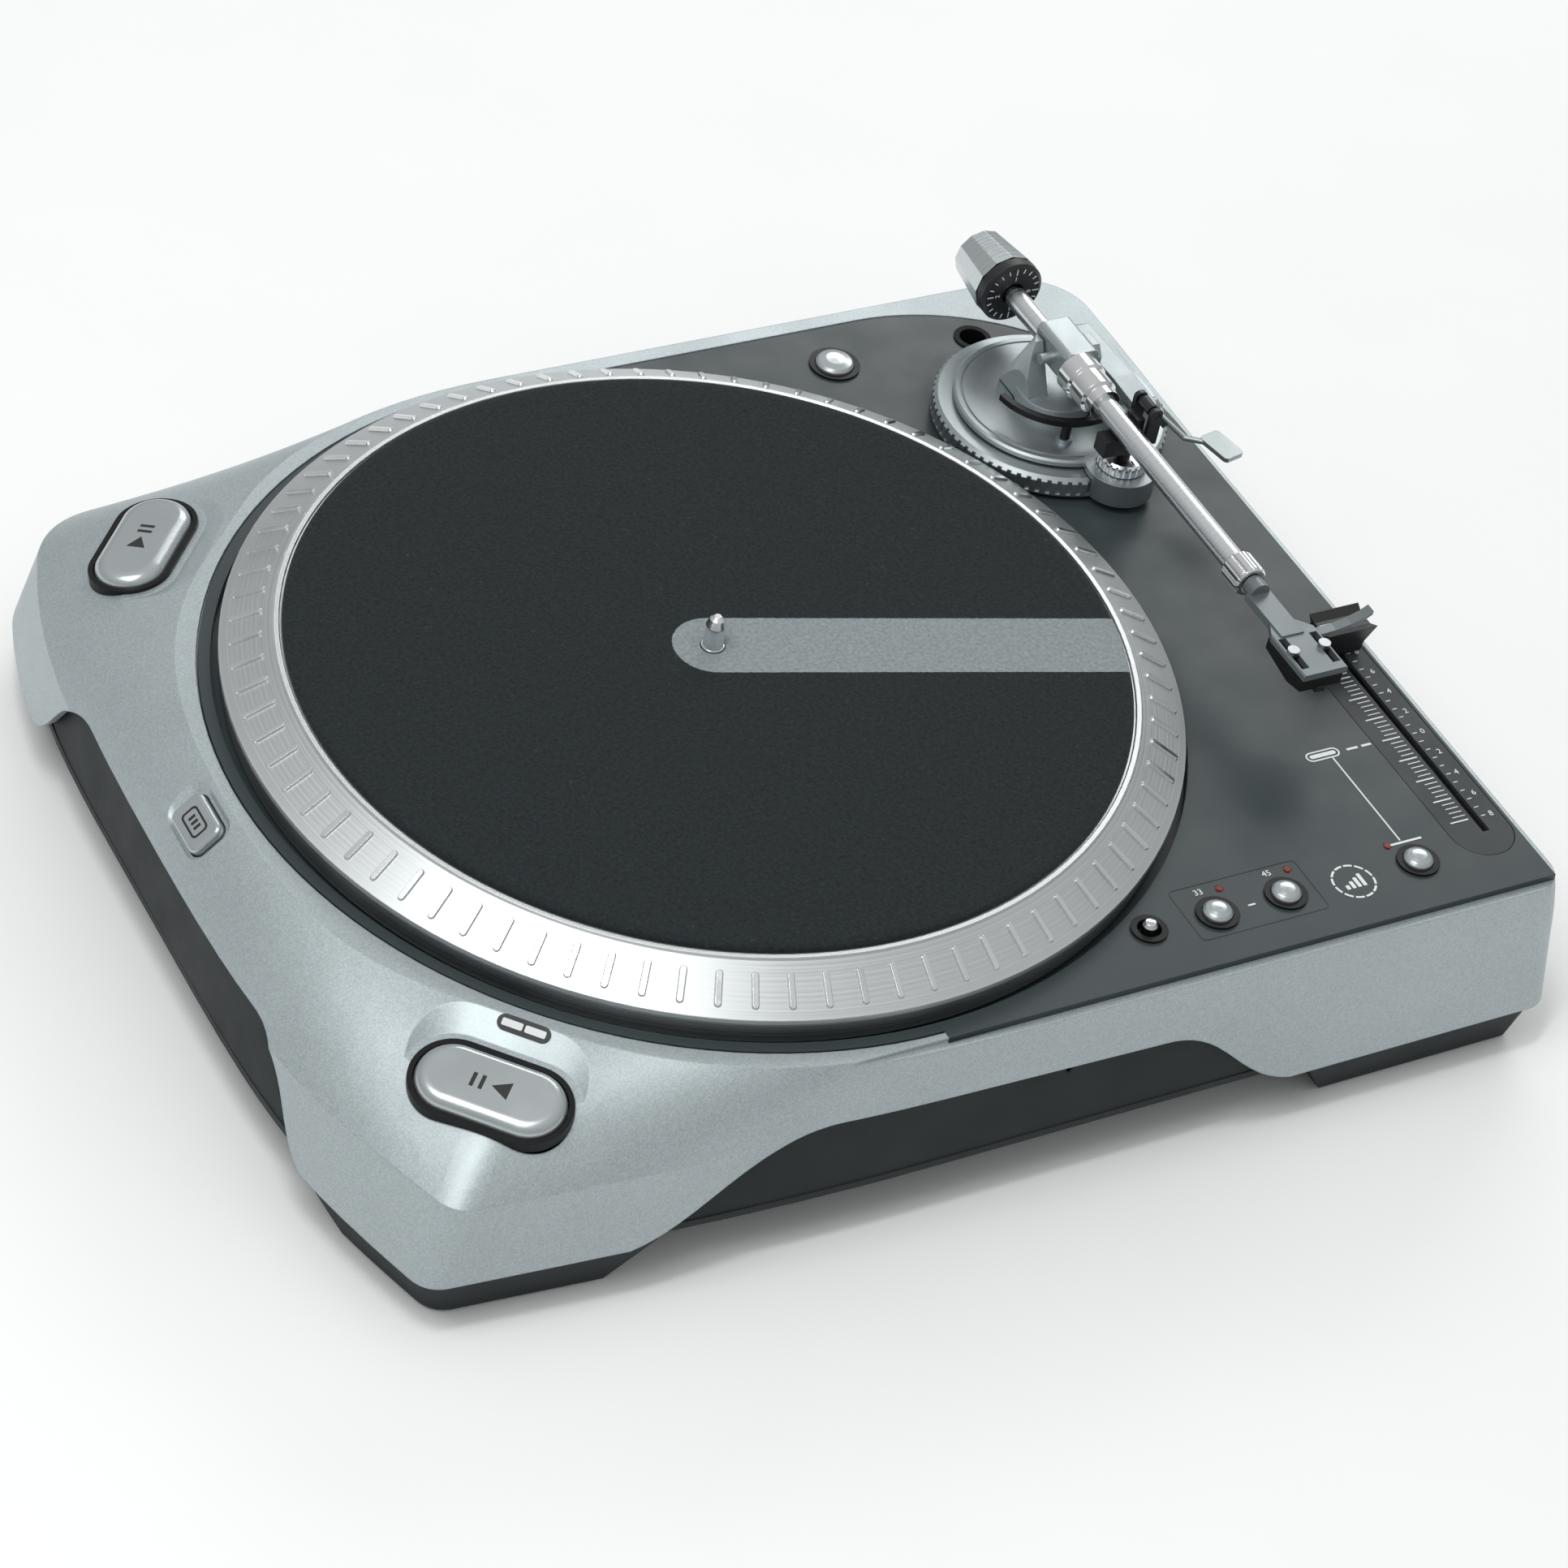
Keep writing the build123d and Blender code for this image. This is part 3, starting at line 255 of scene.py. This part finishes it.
def lathed(name, colour, rough, centre, axis=2, depth=0.02, edge=0.3):
    """Turned metal: fine rings about an axis, in colour, gloss and relief."""
    s = Surface(name, rough, 1.0)
    base = Vector(linear(colour)[:3])
    out = from_axis(s, centre, axis)
    along = s.add("SeparateXYZ", {0: s.place}).outputs[axis]
    line = s.math("ADD", out, s.math("MULTIPLY", along, 0.7))
    rings = s.add("TexNoise", {"W": line, "Scale": 2200.0, "Detail": 3.0}, noise_dimensions="1D")
    rings = rings.outputs["Fac"]
    smear = s.range(s.noise(16, 3), -0.05, 0.06)
    s.colour(s.mix(rings, [*base * 0.86, 1], [*base * 1.1, 1]))
    s.rough(s.math("ADD", s.range(rings, rough - 0.05, rough + 0.05), smear))
    s.bump(rings, depth, edge=edge)
    return s.material


def blasted(name, colour, rough):
    """Bead-blasted silver: a dense, even pitting."""
    s = Surface(name, rough, 0.85)
    base = Vector(linear(colour)[:3])
    pits = s.noise(1700, 2)
    s.colour(s.mix(s.math("ADD", s.range(s.noise(22, 3), 0, 0.6), s.range(pits, 0, 0.4)),
                   [*base * 0.84, 1], [*base * 1.1, 1]))
    s.rough(s.range(s.noise(45, 3), rough - 0.06, rough + 0.06))
    s.bump(pits, 0.05, edge=0.5)
    return s.material


def polished(name, colour, rough):
    """Chrome with faint smears and hairline scratches."""
    s = Surface(name, rough, 1.0)
    base = Vector(linear(colour)[:3])
    smear = s.range(s.noise(60, 4), 0, 1)
    s.colour(s.mix(smear, [*base * 0.92, 1], [*base, 1]))
    hair = s.noise(900, 3, at=s.stretched((1.0, 0.06, 1.0)))
    s.rough(s.math("ADD", s.range(smear, rough - 0.03, rough + 0.05), s.range(hair, -0.02, 0.03)))
    s.bump(hair, 0.006, edge=0.25)
    return s.material


STRIPE_ANGLE = math.radians(-17.3)
STRIPE_HALF = 13.9


def felt(name):
    """Charcoal felt with a printed grey stripe that ends in a half circle round the spindle."""
    s = Surface(name, 0.95, 0.0, Sheen_Weight=0.10, Sheen_Roughness=0.5, Specular_IOR_Level=0.15)
    away = s.add("VectorMath", {0: s.place, 1: tuple(SPINDLE)}, operation="SUBTRACT").outputs[0]
    turned = s.add("VectorRotate", {"Vector": away, "Angle": -STRIPE_ANGLE}, rotation_type="Z_AXIS")
    x, y, _ = s.add("SeparateXYZ", {0: turned.outputs[0]}).outputs[:3]
    behind = s.math("MINIMUM", x, 0.0)
    distance = s.math("SQRT", s.math("ADD", s.math("MULTIPLY", behind, behind), s.math("MULTIPLY", y, y)))
    fuzz = s.noise(1500, 3)
    edge = s.math("ADD", distance, s.math("MULTIPLY", s.math("SUBTRACT", fuzz, 0.5), 0.6 * MM))
    inside = s.add("MapRange", {"Value": edge, "From Min": (STRIPE_HALF + 0.15) * MM,
                                "From Max": (STRIPE_HALF - 0.15) * MM}).outputs[0]
    fibre = s.noise(700, 5, rough=0.7)
    speck = s.math("MULTIPLY", s.math("GREATER_THAN", s.noise(420, 4, rough=0.8), 0.665), 0.35)
    dark = s.mix(s.range(fibre, 0, 1), linear((22, 27, 29)), linear((40, 47, 49)))
    dark = s.mix(speck, dark, linear((80, 88, 90)))
    grey = s.mix(s.range(fibre, 0, 1), linear((118, 127, 129)), linear((150, 158, 160)))
    s.colour(s.mix(inside, dark, grey))
    s.bump(s.math("ADD", fibre, s.math("MULTIPLY", fuzz, 0.5)), 0.22, 0.9)
    return s.material


def wound(name, colour, axis, pitch):
    """Windings or laminations: fine even bands across one axis."""
    s = Surface(name, 0.4, 0.8)
    base = Vector(linear(colour)[:3])
    along = s.add("SeparateXYZ", {0: s.place}).outputs[axis]
    band = s.math("SINE", s.math("MULTIPLY", along, 2 * math.pi / (pitch * MM)))
    band = s.math("ADD", s.math("MULTIPLY", band, 0.35), 0.5)
    s.colour(s.mix(s.math("MULTIPLY", band, s.range(s.noise(120, 3), 0.7, 1.0)),
                   [*base * 0.6, 1], [*base * 1.15, 1]))
    s.rough(s.range(s.noise(80, 3), 0.3, 0.5))
    s.bump(band, 0.15)
    return s.material


def circuit(name):
    """Green lacquered board with pale tracks and pads."""
    s = Surface(name, 0.35, 0.0, Coat_Weight=0.3)
    track = s.add("TexBrick", {"Vector": s.place, "Scale": 130.0, "Mortar Size": 0.03}).outputs["Fac"]
    lacquer = s.mix(s.range(s.noise(40, 3), 0, 1), linear((12, 70, 40)), linear((20, 92, 52)))
    s.colour(s.mix(track, lacquer, linear((60, 140, 84))))
    s.bump(track, 0.03)
    return s.material


def lens(name, colour):
    """Tinted clear plastic over a lamp."""
    s = Surface(name, 0.12, 0.0, Transmission_Weight=0.35, Coat_Weight=0.5, IOR=1.45)
    haze = s.range(s.noise(160, 3), 0, 1)
    s.colour(s.mix(haze, linear(colour), [c * 0.8 for c in linear(colour)[:3]] + [1]))
    s.rough(s.range(haze, 0.1, 0.2))
    return s.material


# ---- finish of every CAD piece -------------------------------------------------------------------
def dress(finishes):
    """Gives each record slot's finish to the CAD pieces that use it."""
    slots = {p["node"]: p["material_slot"] for p in record["subparts"]}
    for node, obj in frame["nodes"].items():
        finish = finishes.get(node) or finishes[slots[node]]
        obj.data.materials.clear()
        obj.data.materials.append(finish)


INK_WHITE = (222, 228, 228)
INK_BLACK = (28, 30, 31)


def make_finishes():
    """The finish of each record slot, and of the nodes that differ from their slot."""
    return {
        "silver_shell": flake_paint("silver_lacquer", (168, 178, 180), 0.40),
        "deck_grey": moulded("deck_satin", (54, 63, 65), 0.36, grain=0.02, edge=0.35, spread=0.05,
                             Specular_IOR_Level=0.3),
        "dark_plastic": moulded("grained_black", (30, 36, 38), 0.6, grain=0.10, edge=0.5,
                                Specular_IOR_Level=0.3),
        "rubber": moulded("rubber", (30, 31, 32), 0.85, grain=0.08),
        "steel": polished("plain_steel", (168, 170, 172), 0.30),
        "black_gloss": moulded("gloss_black", (14, 15, 16), 0.40, grain=0.01, edge=0.25,
                               Specular_IOR_Level=0.25),
        "lamp": lens("lamp_red", (150, 62, 52)),
        "board": circuit("circuit_board"),
        "scale_black": moulded("scale_black", (40, 46, 48), 0.5, grain=0.03, edge=0.2),
        "knob_black": moulded("knob_black", (26, 28, 29), 0.42, grain=0.04, edge=0.35),
        "silver_button": moulded("button_silver", (184, 191, 193), 0.27, metal=0.75, grain=0.012,
                                 edge=0.8, spread=0.03),
        "platter_alloy": lathed("turned_alloy", (205, 209, 210), 0.42, SPINDLE, depth=0.03),
        "felt": felt("felt_cad"),
        "chrome": polished("chrome", (232, 234, 235), 0.10),
        "ferrite": plain("ferrite", (58, 58, 60), 0.7),
        "copper": wound("windings", (176, 96, 52), 1, 0.8),
        "brass": polished("brass", (196, 160, 92), 0.28),
        "iron": wound("laminations", (110, 112, 116), 1, 0.7),
        "arm_silver": blasted("blasted_silver", (170, 178, 180), 0.44),
        "arm_tube": lathed("tube_alloy", (224, 228, 230), 0.26, PIVOT, axis=1, depth=0.01),
        "headshell_socket": moulded("well_black", (12, 13, 13), 0.6, Specular_IOR_Level=0.2),
        "cartridge": moulded("pickup_black", (16, 18, 19), 0.45, Specular_IOR_Level=0.3),
        "headshell_grey": moulded("headshell_satin", (118, 126, 128), 0.38, metal=0.5, edge=0.3),
        "stylus_red": moulded("stylus_plastic", (40, 42, 44), 0.22),
        "height_ring": lathed("ring_alloy", (172, 180, 182), 0.44, PIVOT, depth=0.03, edge=0.35),
        "arm_base_disc": lathed("disc_alloy", (166, 174, 176), 0.46, PIVOT, depth=0.02, edge=0.4),
        "cue_lever": moulded("lever_satin", (150, 157, 158), 0.36, metal=0.8, edge=0.3),
        "counterweight": lathed("weight_alloy", (206, 212, 213), 0.26, PIVOT, axis=1, depth=0.02),
        "target_light": polished("lamp_tube", (226, 229, 230), 0.16),
    }


# ---- mesh helpers --------------------------------------------------------------------------------
def finish_piece(name, bm, materials, body, smooth=False):
    """A mesh made in bm as a visible piece that rides on a body."""
    bmesh.ops.recalc_face_normals(bm, faces=bm.faces)
    mesh = bpy.data.meshes.new(name)
    bm.to_mesh(mesh)
    bm.free()
    for material in materials:
        mesh.materials.append(material)
    for face in mesh.polygons:
        face.use_smooth = smooth
    obj = bpy.data.objects.new(name, mesh)
    bpy.context.scene.collection.objects.link(obj)
    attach(obj, body)
    return obj


def prism(bm, points, place, thick=INK):
    """A thin solid on a flat outline of millimetre points, through the matrix place."""
    low, high = ([bm.verts.new(place @ Vector((x * MM, y * MM, z * MM))) for x, y in points]
                 for z in (0.0, thick))
    bm.faces.new(low[::-1])
    bm.faces.new(high)
    count = len(points)
    for k in range(count):
        bm.faces.new((low[k], low[(k + 1) % count], high[(k + 1) % count], high[k]))


def loop_band(bm, outer, inner, place, thick=INK):
    """The thin solid between two outlines with as many points."""
    rows = [[bm.verts.new(place @ Vector((x * MM, y * MM, z * MM))) for x, y in loop]
            for loop, z in ((outer, 0), (outer, thick), (inner, thick), (inner, 0))]
    count = len(outer)
    for a, b in zip(rows, rows[1:] + rows[:1]):
        for k in range(count):
            j = (k + 1) % count
            bm.faces.new((a[k], a[j], b[j], b[k]))


def box_outline(x0, y0, x1, y1):
    return [(x0, y0), (x1, y0), (x1, y1), (x0, y1)]


def circle(x, y, r, count=48, start=0.0, sweep=360.0):
    """Points on a circle, or on the arc that starts and sweeps so many degrees."""
    steps = count if sweep == 360.0 else count + 1
    angles = [math.radians(start + sweep * k / count) for k in range(steps)]
    return [(x + r * math.cos(a), y + r * math.sin(a)) for a in angles]


def pill(x, y, length, width):
    """A stadium outline about a point, its long way along x."""
    r, half = width / 2, (length - width) / 2
    ends = circle(half, 0, r, 12, -90, 180) + circle(-half, 0, r, 12, 90, 180)
    return [(x + u, y + v) for u, v in ends]


def rounded(x0, y0, x1, y1, r):
    """A box outline with round corners."""
    corners = ((x1 - r, y0 + r, -90), (x1 - r, y1 - r, 0), (x0 + r, y1 - r, 90), (x0 + r, y0 + r, 180))
    return [p for x, y, start in corners for p in circle(x, y, r, 6, start, 90)]


def lettering(bm, words, size, place):
    """Numbers as thin solids, added to bm."""
    curve = bpy.data.curves.new("number", "FONT")
    curve.body, curve.size, curve.extrude = words, size * MM, INK * MM / 2
    curve.align_x, curve.align_y = "CENTER", "CENTER"
    curve.resolution_u = 3
    writer = bpy.data.objects.new("number", curve)
    bpy.context.scene.collection.objects.link(writer)
    bpy.context.view_layer.update()
    mesh = bpy.data.meshes.new_from_object(writer)
    mesh.transform(place @ Matrix.Translation((0, 0, INK * MM / 2)))
    bm.from_mesh(mesh)
    bpy.data.objects.remove(writer)
    bpy.data.curves.remove(curve)
    bpy.data.meshes.remove(mesh)


def on_deck(x=0.0, y=0.0, z=None):
    """The place of a print: millimetres from the spindle, on the deck unless z says otherwise."""
    height = DECK_TOP if z is None else z
    return Matrix.Translation((SPINDLE.x + x * MM, SPINDLE.y + y * MM, height + LIFT * MM))


def cap_place(node, joint):
    """The top face of a button: local z is its outward direction and local x lies level, to the right
    of somebody who looks uphill."""
    out = -Vector(joints[joint]["axis"]).normalized()
    corners = [v.co for v in frame["nodes"][node].data.vertices]
    level = Vector((0, 0, 1)).cross(out).normalized()
    uphill = out.cross(level)
    middle = [(max(c.dot(d) for c in corners) + min(c.dot(d) for c in corners)) / 2
              for d in (level, uphill)]
    top = max(c.dot(out) for c in corners) + LIFT * MM
    origin = level * middle[0] + uphill * middle[1] + out * top
    turn = Matrix((level, uphill, out)).transposed().to_4x4()
    return Matrix.Translation(origin) @ turn


WINDOW_SPOT = (1.2, 24.7, -1.9)         # from the middle of the cap's top
WINDOW_SLOPE = math.radians(22.2)       # the slope of the hollow's wall
WINDOW_THICK = 0.5


def lamp_window(black, white):
    """The black window with two lit segments in the wall of the front start button's hollow."""
    place = (cap_place("start_button_front", "start_front_press")
             @ Matrix.Translation([c * MM for c in WINDOW_SPOT]) @ Matrix.Rotation(WINDOW_SLOPE, 4, "X"))
    face = place @ Matrix.Translation((0, 0, WINDOW_THICK * MM))
    bm = bmesh.new()
    prism(bm, pill(0, 0, 18, 5.4), place, WINDOW_THICK)
    window = finish_piece("lamp_window", bm, [black], "housing")
    bm = bmesh.new()
    for x in (-3.9, 3.9):
        prism(bm, rounded(x - 3.5, -1.2, x + 3.5, 1.2, 0.5), face, 0.15)
    lit = finish_piece("lamp_segments", bm, [white], "housing")


# ---- slipmat and strobe ring ---------------------------------------------------------------------
def slipmat():
    """A loose felt disc: a worn soft edge, a spindle hole and a faint unevenness."""
    low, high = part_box("slipmat")
    radius, thick = (high.x - low.x) / 2 / MM, (high.z - low.z) / MM
    hole = 4.3
    seat = 0.02         # the profile's lowest height, which lies on the platter
    profile = [(hole, 0.25), (hole, thick - 0.3), (hole + 0.3, thick - 0.06), (12, thick - 0.02)]
    profile += [(12 + (radius - 16) * k / 14, thick - 0.02) for k in range(1, 15)]
    profile += [(radius - 1.2, thick - 0.06), (radius - 0.4, thick - 0.35), (radius, thick - 0.9),
                (radius, 0.5), (radius - 0.25, 0.1), (radius - 0.8, seat), (hole + 0.3, seat)]
    bm = bmesh.new()
    turns = 192
    rows = []
    for k in range(turns):
        a = 2 * math.pi * k / turns
        row = []
        for r, z in profile:
            wave = 0.05 * math.sin(3 * a + r * 0.05) * math.sin(r * 0.11) if z > thick - 0.1 else 0.0
            row.append(bm.verts.new((SPINDLE.x + r * MM * math.cos(a), SPINDLE.y + r * MM * math.sin(a),
                                     low.z + (z - seat + min(wave, 0.0)) * MM)))
        rows.append(row)
    for k in range(turns):
        a, b = rows[k], rows[(k + 1) % turns]
        for j in range(len(profile)):
            i = (j + 1) % len(profile)
            bm.faces.new((a[j], b[j], b[i], a[i]))
    mat = finish_piece("felt_slipmat", bm, [felt("felt")], "platter_spin", smooth=True)
    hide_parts("slipmat")


STROBE_COUNT = 84
STROBE_WIDTH, STROBE_RISE = 2.6, 0.8
STROBE_REACH = 0.64         # the bars' length as a share of the bevel's


def strobe_marks():
    """A row of raised bars round the middle of the platter's bevel."""
    length = math.hypot(BEVEL_LOW[0] - BEVEL_HIGH[0], BEVEL_LOW[1] - BEVEL_HIGH[1]) * STROBE_REACH
    r, z = ((low + high) / 2 for low, high in zip(BEVEL_LOW, BEVEL_HIGH))
    base = pill(0, 0, length, STROBE_WIDTH)
    crest = pill(0, 0, length - STROBE_RISE, STROBE_WIDTH - STROBE_RISE)
    count = len(base)
    bm = bmesh.new()
    for bar in range(STROBE_COUNT):
        place = (Matrix.Translation((SPINDLE.x, SPINDLE.y, 0))
                 @ Matrix.Rotation(2 * math.pi * bar / STROBE_COUNT, 4, "Z")
                 @ Matrix.Translation((r * MM, 0, z * MM)) @ Matrix.Rotation(BEVEL_SLOPE, 4, "Y"))
        low = [bm.verts.new(place @ Vector((x * MM, y * MM, 0))) for x, y in base]
        top = [bm.verts.new(place @ Vector((x * MM, y * MM, STROBE_RISE * MM))) for x, y in crest]
        for k in range(count):
            j = (k + 1) % count
            bm.faces.new((low[k], low[j], top[j], top[k]))
        bm.faces.new(top)
        bm.faces.new(low[::-1])
    marks = finish_piece("strobe_marks", bm, [polished("strobe_bright", (226, 229, 230), 0.2)],
                         "platter_spin")


# ---- prints on the deck --------------------------------------------------------------------------
BADGE = (169.0, -155.8)
BADGE_OUTER, BADGE_INNER = 8.0, 7.2


def deck_prints(white):
    """The group line, the pill and bar at its ends, a round badge and the outline of the speed keys."""
    bm = bmesh.new()
    place = on_deck()
    loop_band(bm, pill(193.2, -97.5, 13.6, 4.6), pill(193.2, -97.5, 12.4, 3.4), place)
    prism(bm, pill(193.2, -97.5, 10.6, 1.8), place)
    loop_band(bm, box_outline(195.6, -143.6, 196.2, -99.9), box_outline(195.7, -143.5, 196.1, -100.0), place)
    prism(bm, box_outline(195.72, -143.48, 196.08, -100.02), place)
    prism(bm, box_outline(189.0, -145.1, 204.0, -144.2), place)
    prism(bm, box_outline(203.0, -98.4, 207.6, -97.4), place)
    prism(bm, box_outline(209.2, -98.4, 213.2, -97.4), place)
    for start in range(0, 360, 30):
        outer, inner = (circle(*BADGE, r, 4, start + 3, 24) for r in (BADGE_OUTER, BADGE_INNER))
        prism(bm, outer + inner[::-1], place)
    for k in range(4):
        prism(bm, rounded(BADGE[0] - 4.2 + 2.2 * k, BADGE[1] - 3.0, BADGE[0] - 2.8 + 2.2 * k,
                          BADGE[1] + (-1.0 + 1.3 * k), 0.3), place)
    lettering(bm, "33", 3.6, on_deck(114.0, -143.4))
    lettering(bm, "45", 3.6, on_deck(141.6, -142.9))
    prism(bm, box_outline(127.4, -154.6, 130.2, -153.9), place)
    prints = finish_piece("deck_prints", bm, [white], "housing")

    bm = bmesh.new()
    loop_band(bm, rounded(103.6, -164.2, 154.6, -139.6, 2), rounded(104.1, -163.7, 154.1, -140.1, 1.6), place)
    panel_line = finish_piece("speed_key_outline", bm, [plain("ink_dark", (40, 46, 48), 0.5)], "housing")


SLOT_X = 228.5
SLOT_ENDS = (-149.0, -47.0)


def pitch_scale(white):
    """Ticks left of the fader's slot, numbers and short ticks right of it."""
    bm = bmesh.new()
    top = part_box("pitch_scale_plate")[1].z
    place = on_deck(z=top)
    first, last = SLOT_ENDS[0] + 7, SLOT_ENDS[1] - 7
    steps = 40
    for k in range(steps + 1):
        y = first + (last - first) * k / steps
        long_one = k % 5 == 0
        thick = 0.28 if long_one else 0.17
        left = SLOT_X - (10.4 if long_one else 8.2)
        prism(bm, box_outline(left, y - thick, SLOT_X - 3.0, y + thick), place)
        if k % 2 == 0:
            prism(bm, box_outline(SLOT_X + 2.4, y - 0.17, SLOT_X + 4.2, y + 0.17), place)
        if long_one:
            number = str(abs(k - steps // 2) // 5 * 2)
            lettering(bm, number, 3.4, on_deck(SLOT_X + 6.6, y, top))
    scale = finish_piece("pitch_scale_print", bm, [white], "housing")


# ---- button symbols ------------------------------------------------------------------------------
SYMBOL_SINK, SYMBOL_THICK = 0.2, 0.26


def start_symbols(dark):
    """Play and pause on each start button."""
    for end in ("front", "rear"):
        bm = bmesh.new()
        place = (cap_place(f"start_button_{end}", f"start_{end}_press")
                 @ Matrix.Translation((0, 0, -SYMBOL_SINK * MM)))
        for x in (-6.0, -3.0):
            prism(bm, box_outline(x - 0.65, -2.6, x + 0.65, 2.6), place, SYMBOL_THICK)
        prism(bm, [(0.2, 0.0), (6.2, -3.3), (6.2, 3.3)], place, SYMBOL_THICK)
        symbol = finish_piece(f"start_symbol_{end}", bm, [dark], f"start_{end}")


def side_symbol(dark):
    """A framed row of three bars on the side button."""
    bm = bmesh.new()
    place = cap_place("side_button", "side_button_press")
    loop_band(bm, rounded(-5.6, -3.4, 5.6, 3.4, 1.6), rounded(-4.9, -2.7, 4.9, 2.7, 1.2), place)
    for x in (-2.2, 0.0, 2.2):
        prism(bm, box_outline(x - 0.5, -1.4, x + 0.5, 1.4), place)
    symbol = finish_piece("side_symbol", bm, [dark], "side_press")


KNOB_GROOVE = 1.6       # from the pitch knob's highest edge down to the white stripe painted as its top face's highlight


def knob_painted_highlight(white):
    """A white stripe across the pitch knob, painted in as the highlight on its top face."""
    low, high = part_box("pitch_knob")
    y = (low.y + high.y) / 2
    bm = bmesh.new()
    top = high.z - KNOB_GROOVE * MM + LIFT * MM
    place = Matrix.Translation(((low.x + high.x) / 2, y, top))
    half = (high.x - low.x) / 2 / MM - 1.2
    # painted highlight: this white bar stands in for the light on the knob's top face
    prism(bm, box_outline(-half, -1.1, half, 1.1), place, 0.25)
    line = finish_piece("pitch_knob_painted_highlight", bm, [white], "pitch_control")


# ---- tonearm details -----------------------------------------------------------------------------
DIAL_STEPS = 20


def dial_marks(white):
    """The tracking force scale on the ring in front of the counterweight."""
    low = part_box("force_dial")[0]
    bm = bmesh.new()
    face = Matrix.Translation((PIVOT.x, low.y - LIFT * MM, PIVOT.z)) @ Matrix.Rotation(math.pi / 2, 4, "X")
    for k in range(DIAL_STEPS):
        inner = 9.2 if k % 5 else 8.4
        turn = face @ Matrix.Rotation(math.radians(360 / DIAL_STEPS * k), 4, "Z")
        prism(bm, box_outline(inner, -0.2, 11.0, 0.2), turn)
        if k % 5 == 0:
            lettering(bm, str(k // 5), 2.6, turn @ Matrix.Translation((6.6 * MM, 0, 0))
                      @ Matrix.Rotation(-math.pi / 2, 4, "Z"))
    marks = finish_piece("force_dial_marks", bm, [white], "force_ring")


def anti_skate_marks(dark):
    """Five short lines round the top of the anti-skate dial."""
    low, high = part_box("anti_skate_dial")
    centre = (low + high) / 2
    bm = bmesh.new()
    for k in range(5):
        place = (Matrix.Translation((centre.x, centre.y, high.z + LIFT * MM))
                 @ Matrix.Rotation(math.radians(-150 + 60 * k), 4, "Z"))
        prism(bm, box_outline(5.2, -0.25, 7.6, 0.25), place)
    marks = finish_piece("anti_skate_marks", bm, [dark], "anti_skate")


JACK_COLOURS = {"left": (225, 226, 224), "right": (178, 40, 36)}
JACK_FOOT = 7.9         # from the sockets' outer ends back to their discs


def jack_rings():
    """Insulating discs, one red and one white, at the feet of the two phono sockets."""
    low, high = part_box("audio_jacks")
    r = (high.z - low.z) / 2 / MM
    for name, x in (("left", high.x - r * MM), ("right", low.x + r * MM)):
        bm = bmesh.new()
        place = (Matrix.Translation((x, high.y - JACK_FOOT * MM, (low.z + high.z) / 2))
                 @ Matrix.Rotation(-math.pi / 2, 4, "X"))
        loop_band(bm, circle(0, 0, r + 1.6), circle(0, 0, 4.25), place, 1.0)
        colour = moulded(f"jack_{name}", JACK_COLOURS[name], 0.35)
        piece = finish_piece(f"jack_ring_{name}", bm, [colour], "housing")


# ---- scene ---------------------------------------------------------------------------------------
make_camera()
make_studio()
dress(make_finishes())
white_ink = plain("ink_white", INK_WHITE, 0.55)
black_ink = plain("ink_black", INK_BLACK, 0.5)
slipmat()
strobe_marks()
deck_prints(white_ink)
pitch_scale(white_ink)
start_symbols(black_ink)
lamp_window(black_ink, white_ink)
side_symbol(black_ink)
knob_painted_highlight(white_ink)
dial_marks(white_ink)
anti_skate_marks(black_ink)
jack_rings()
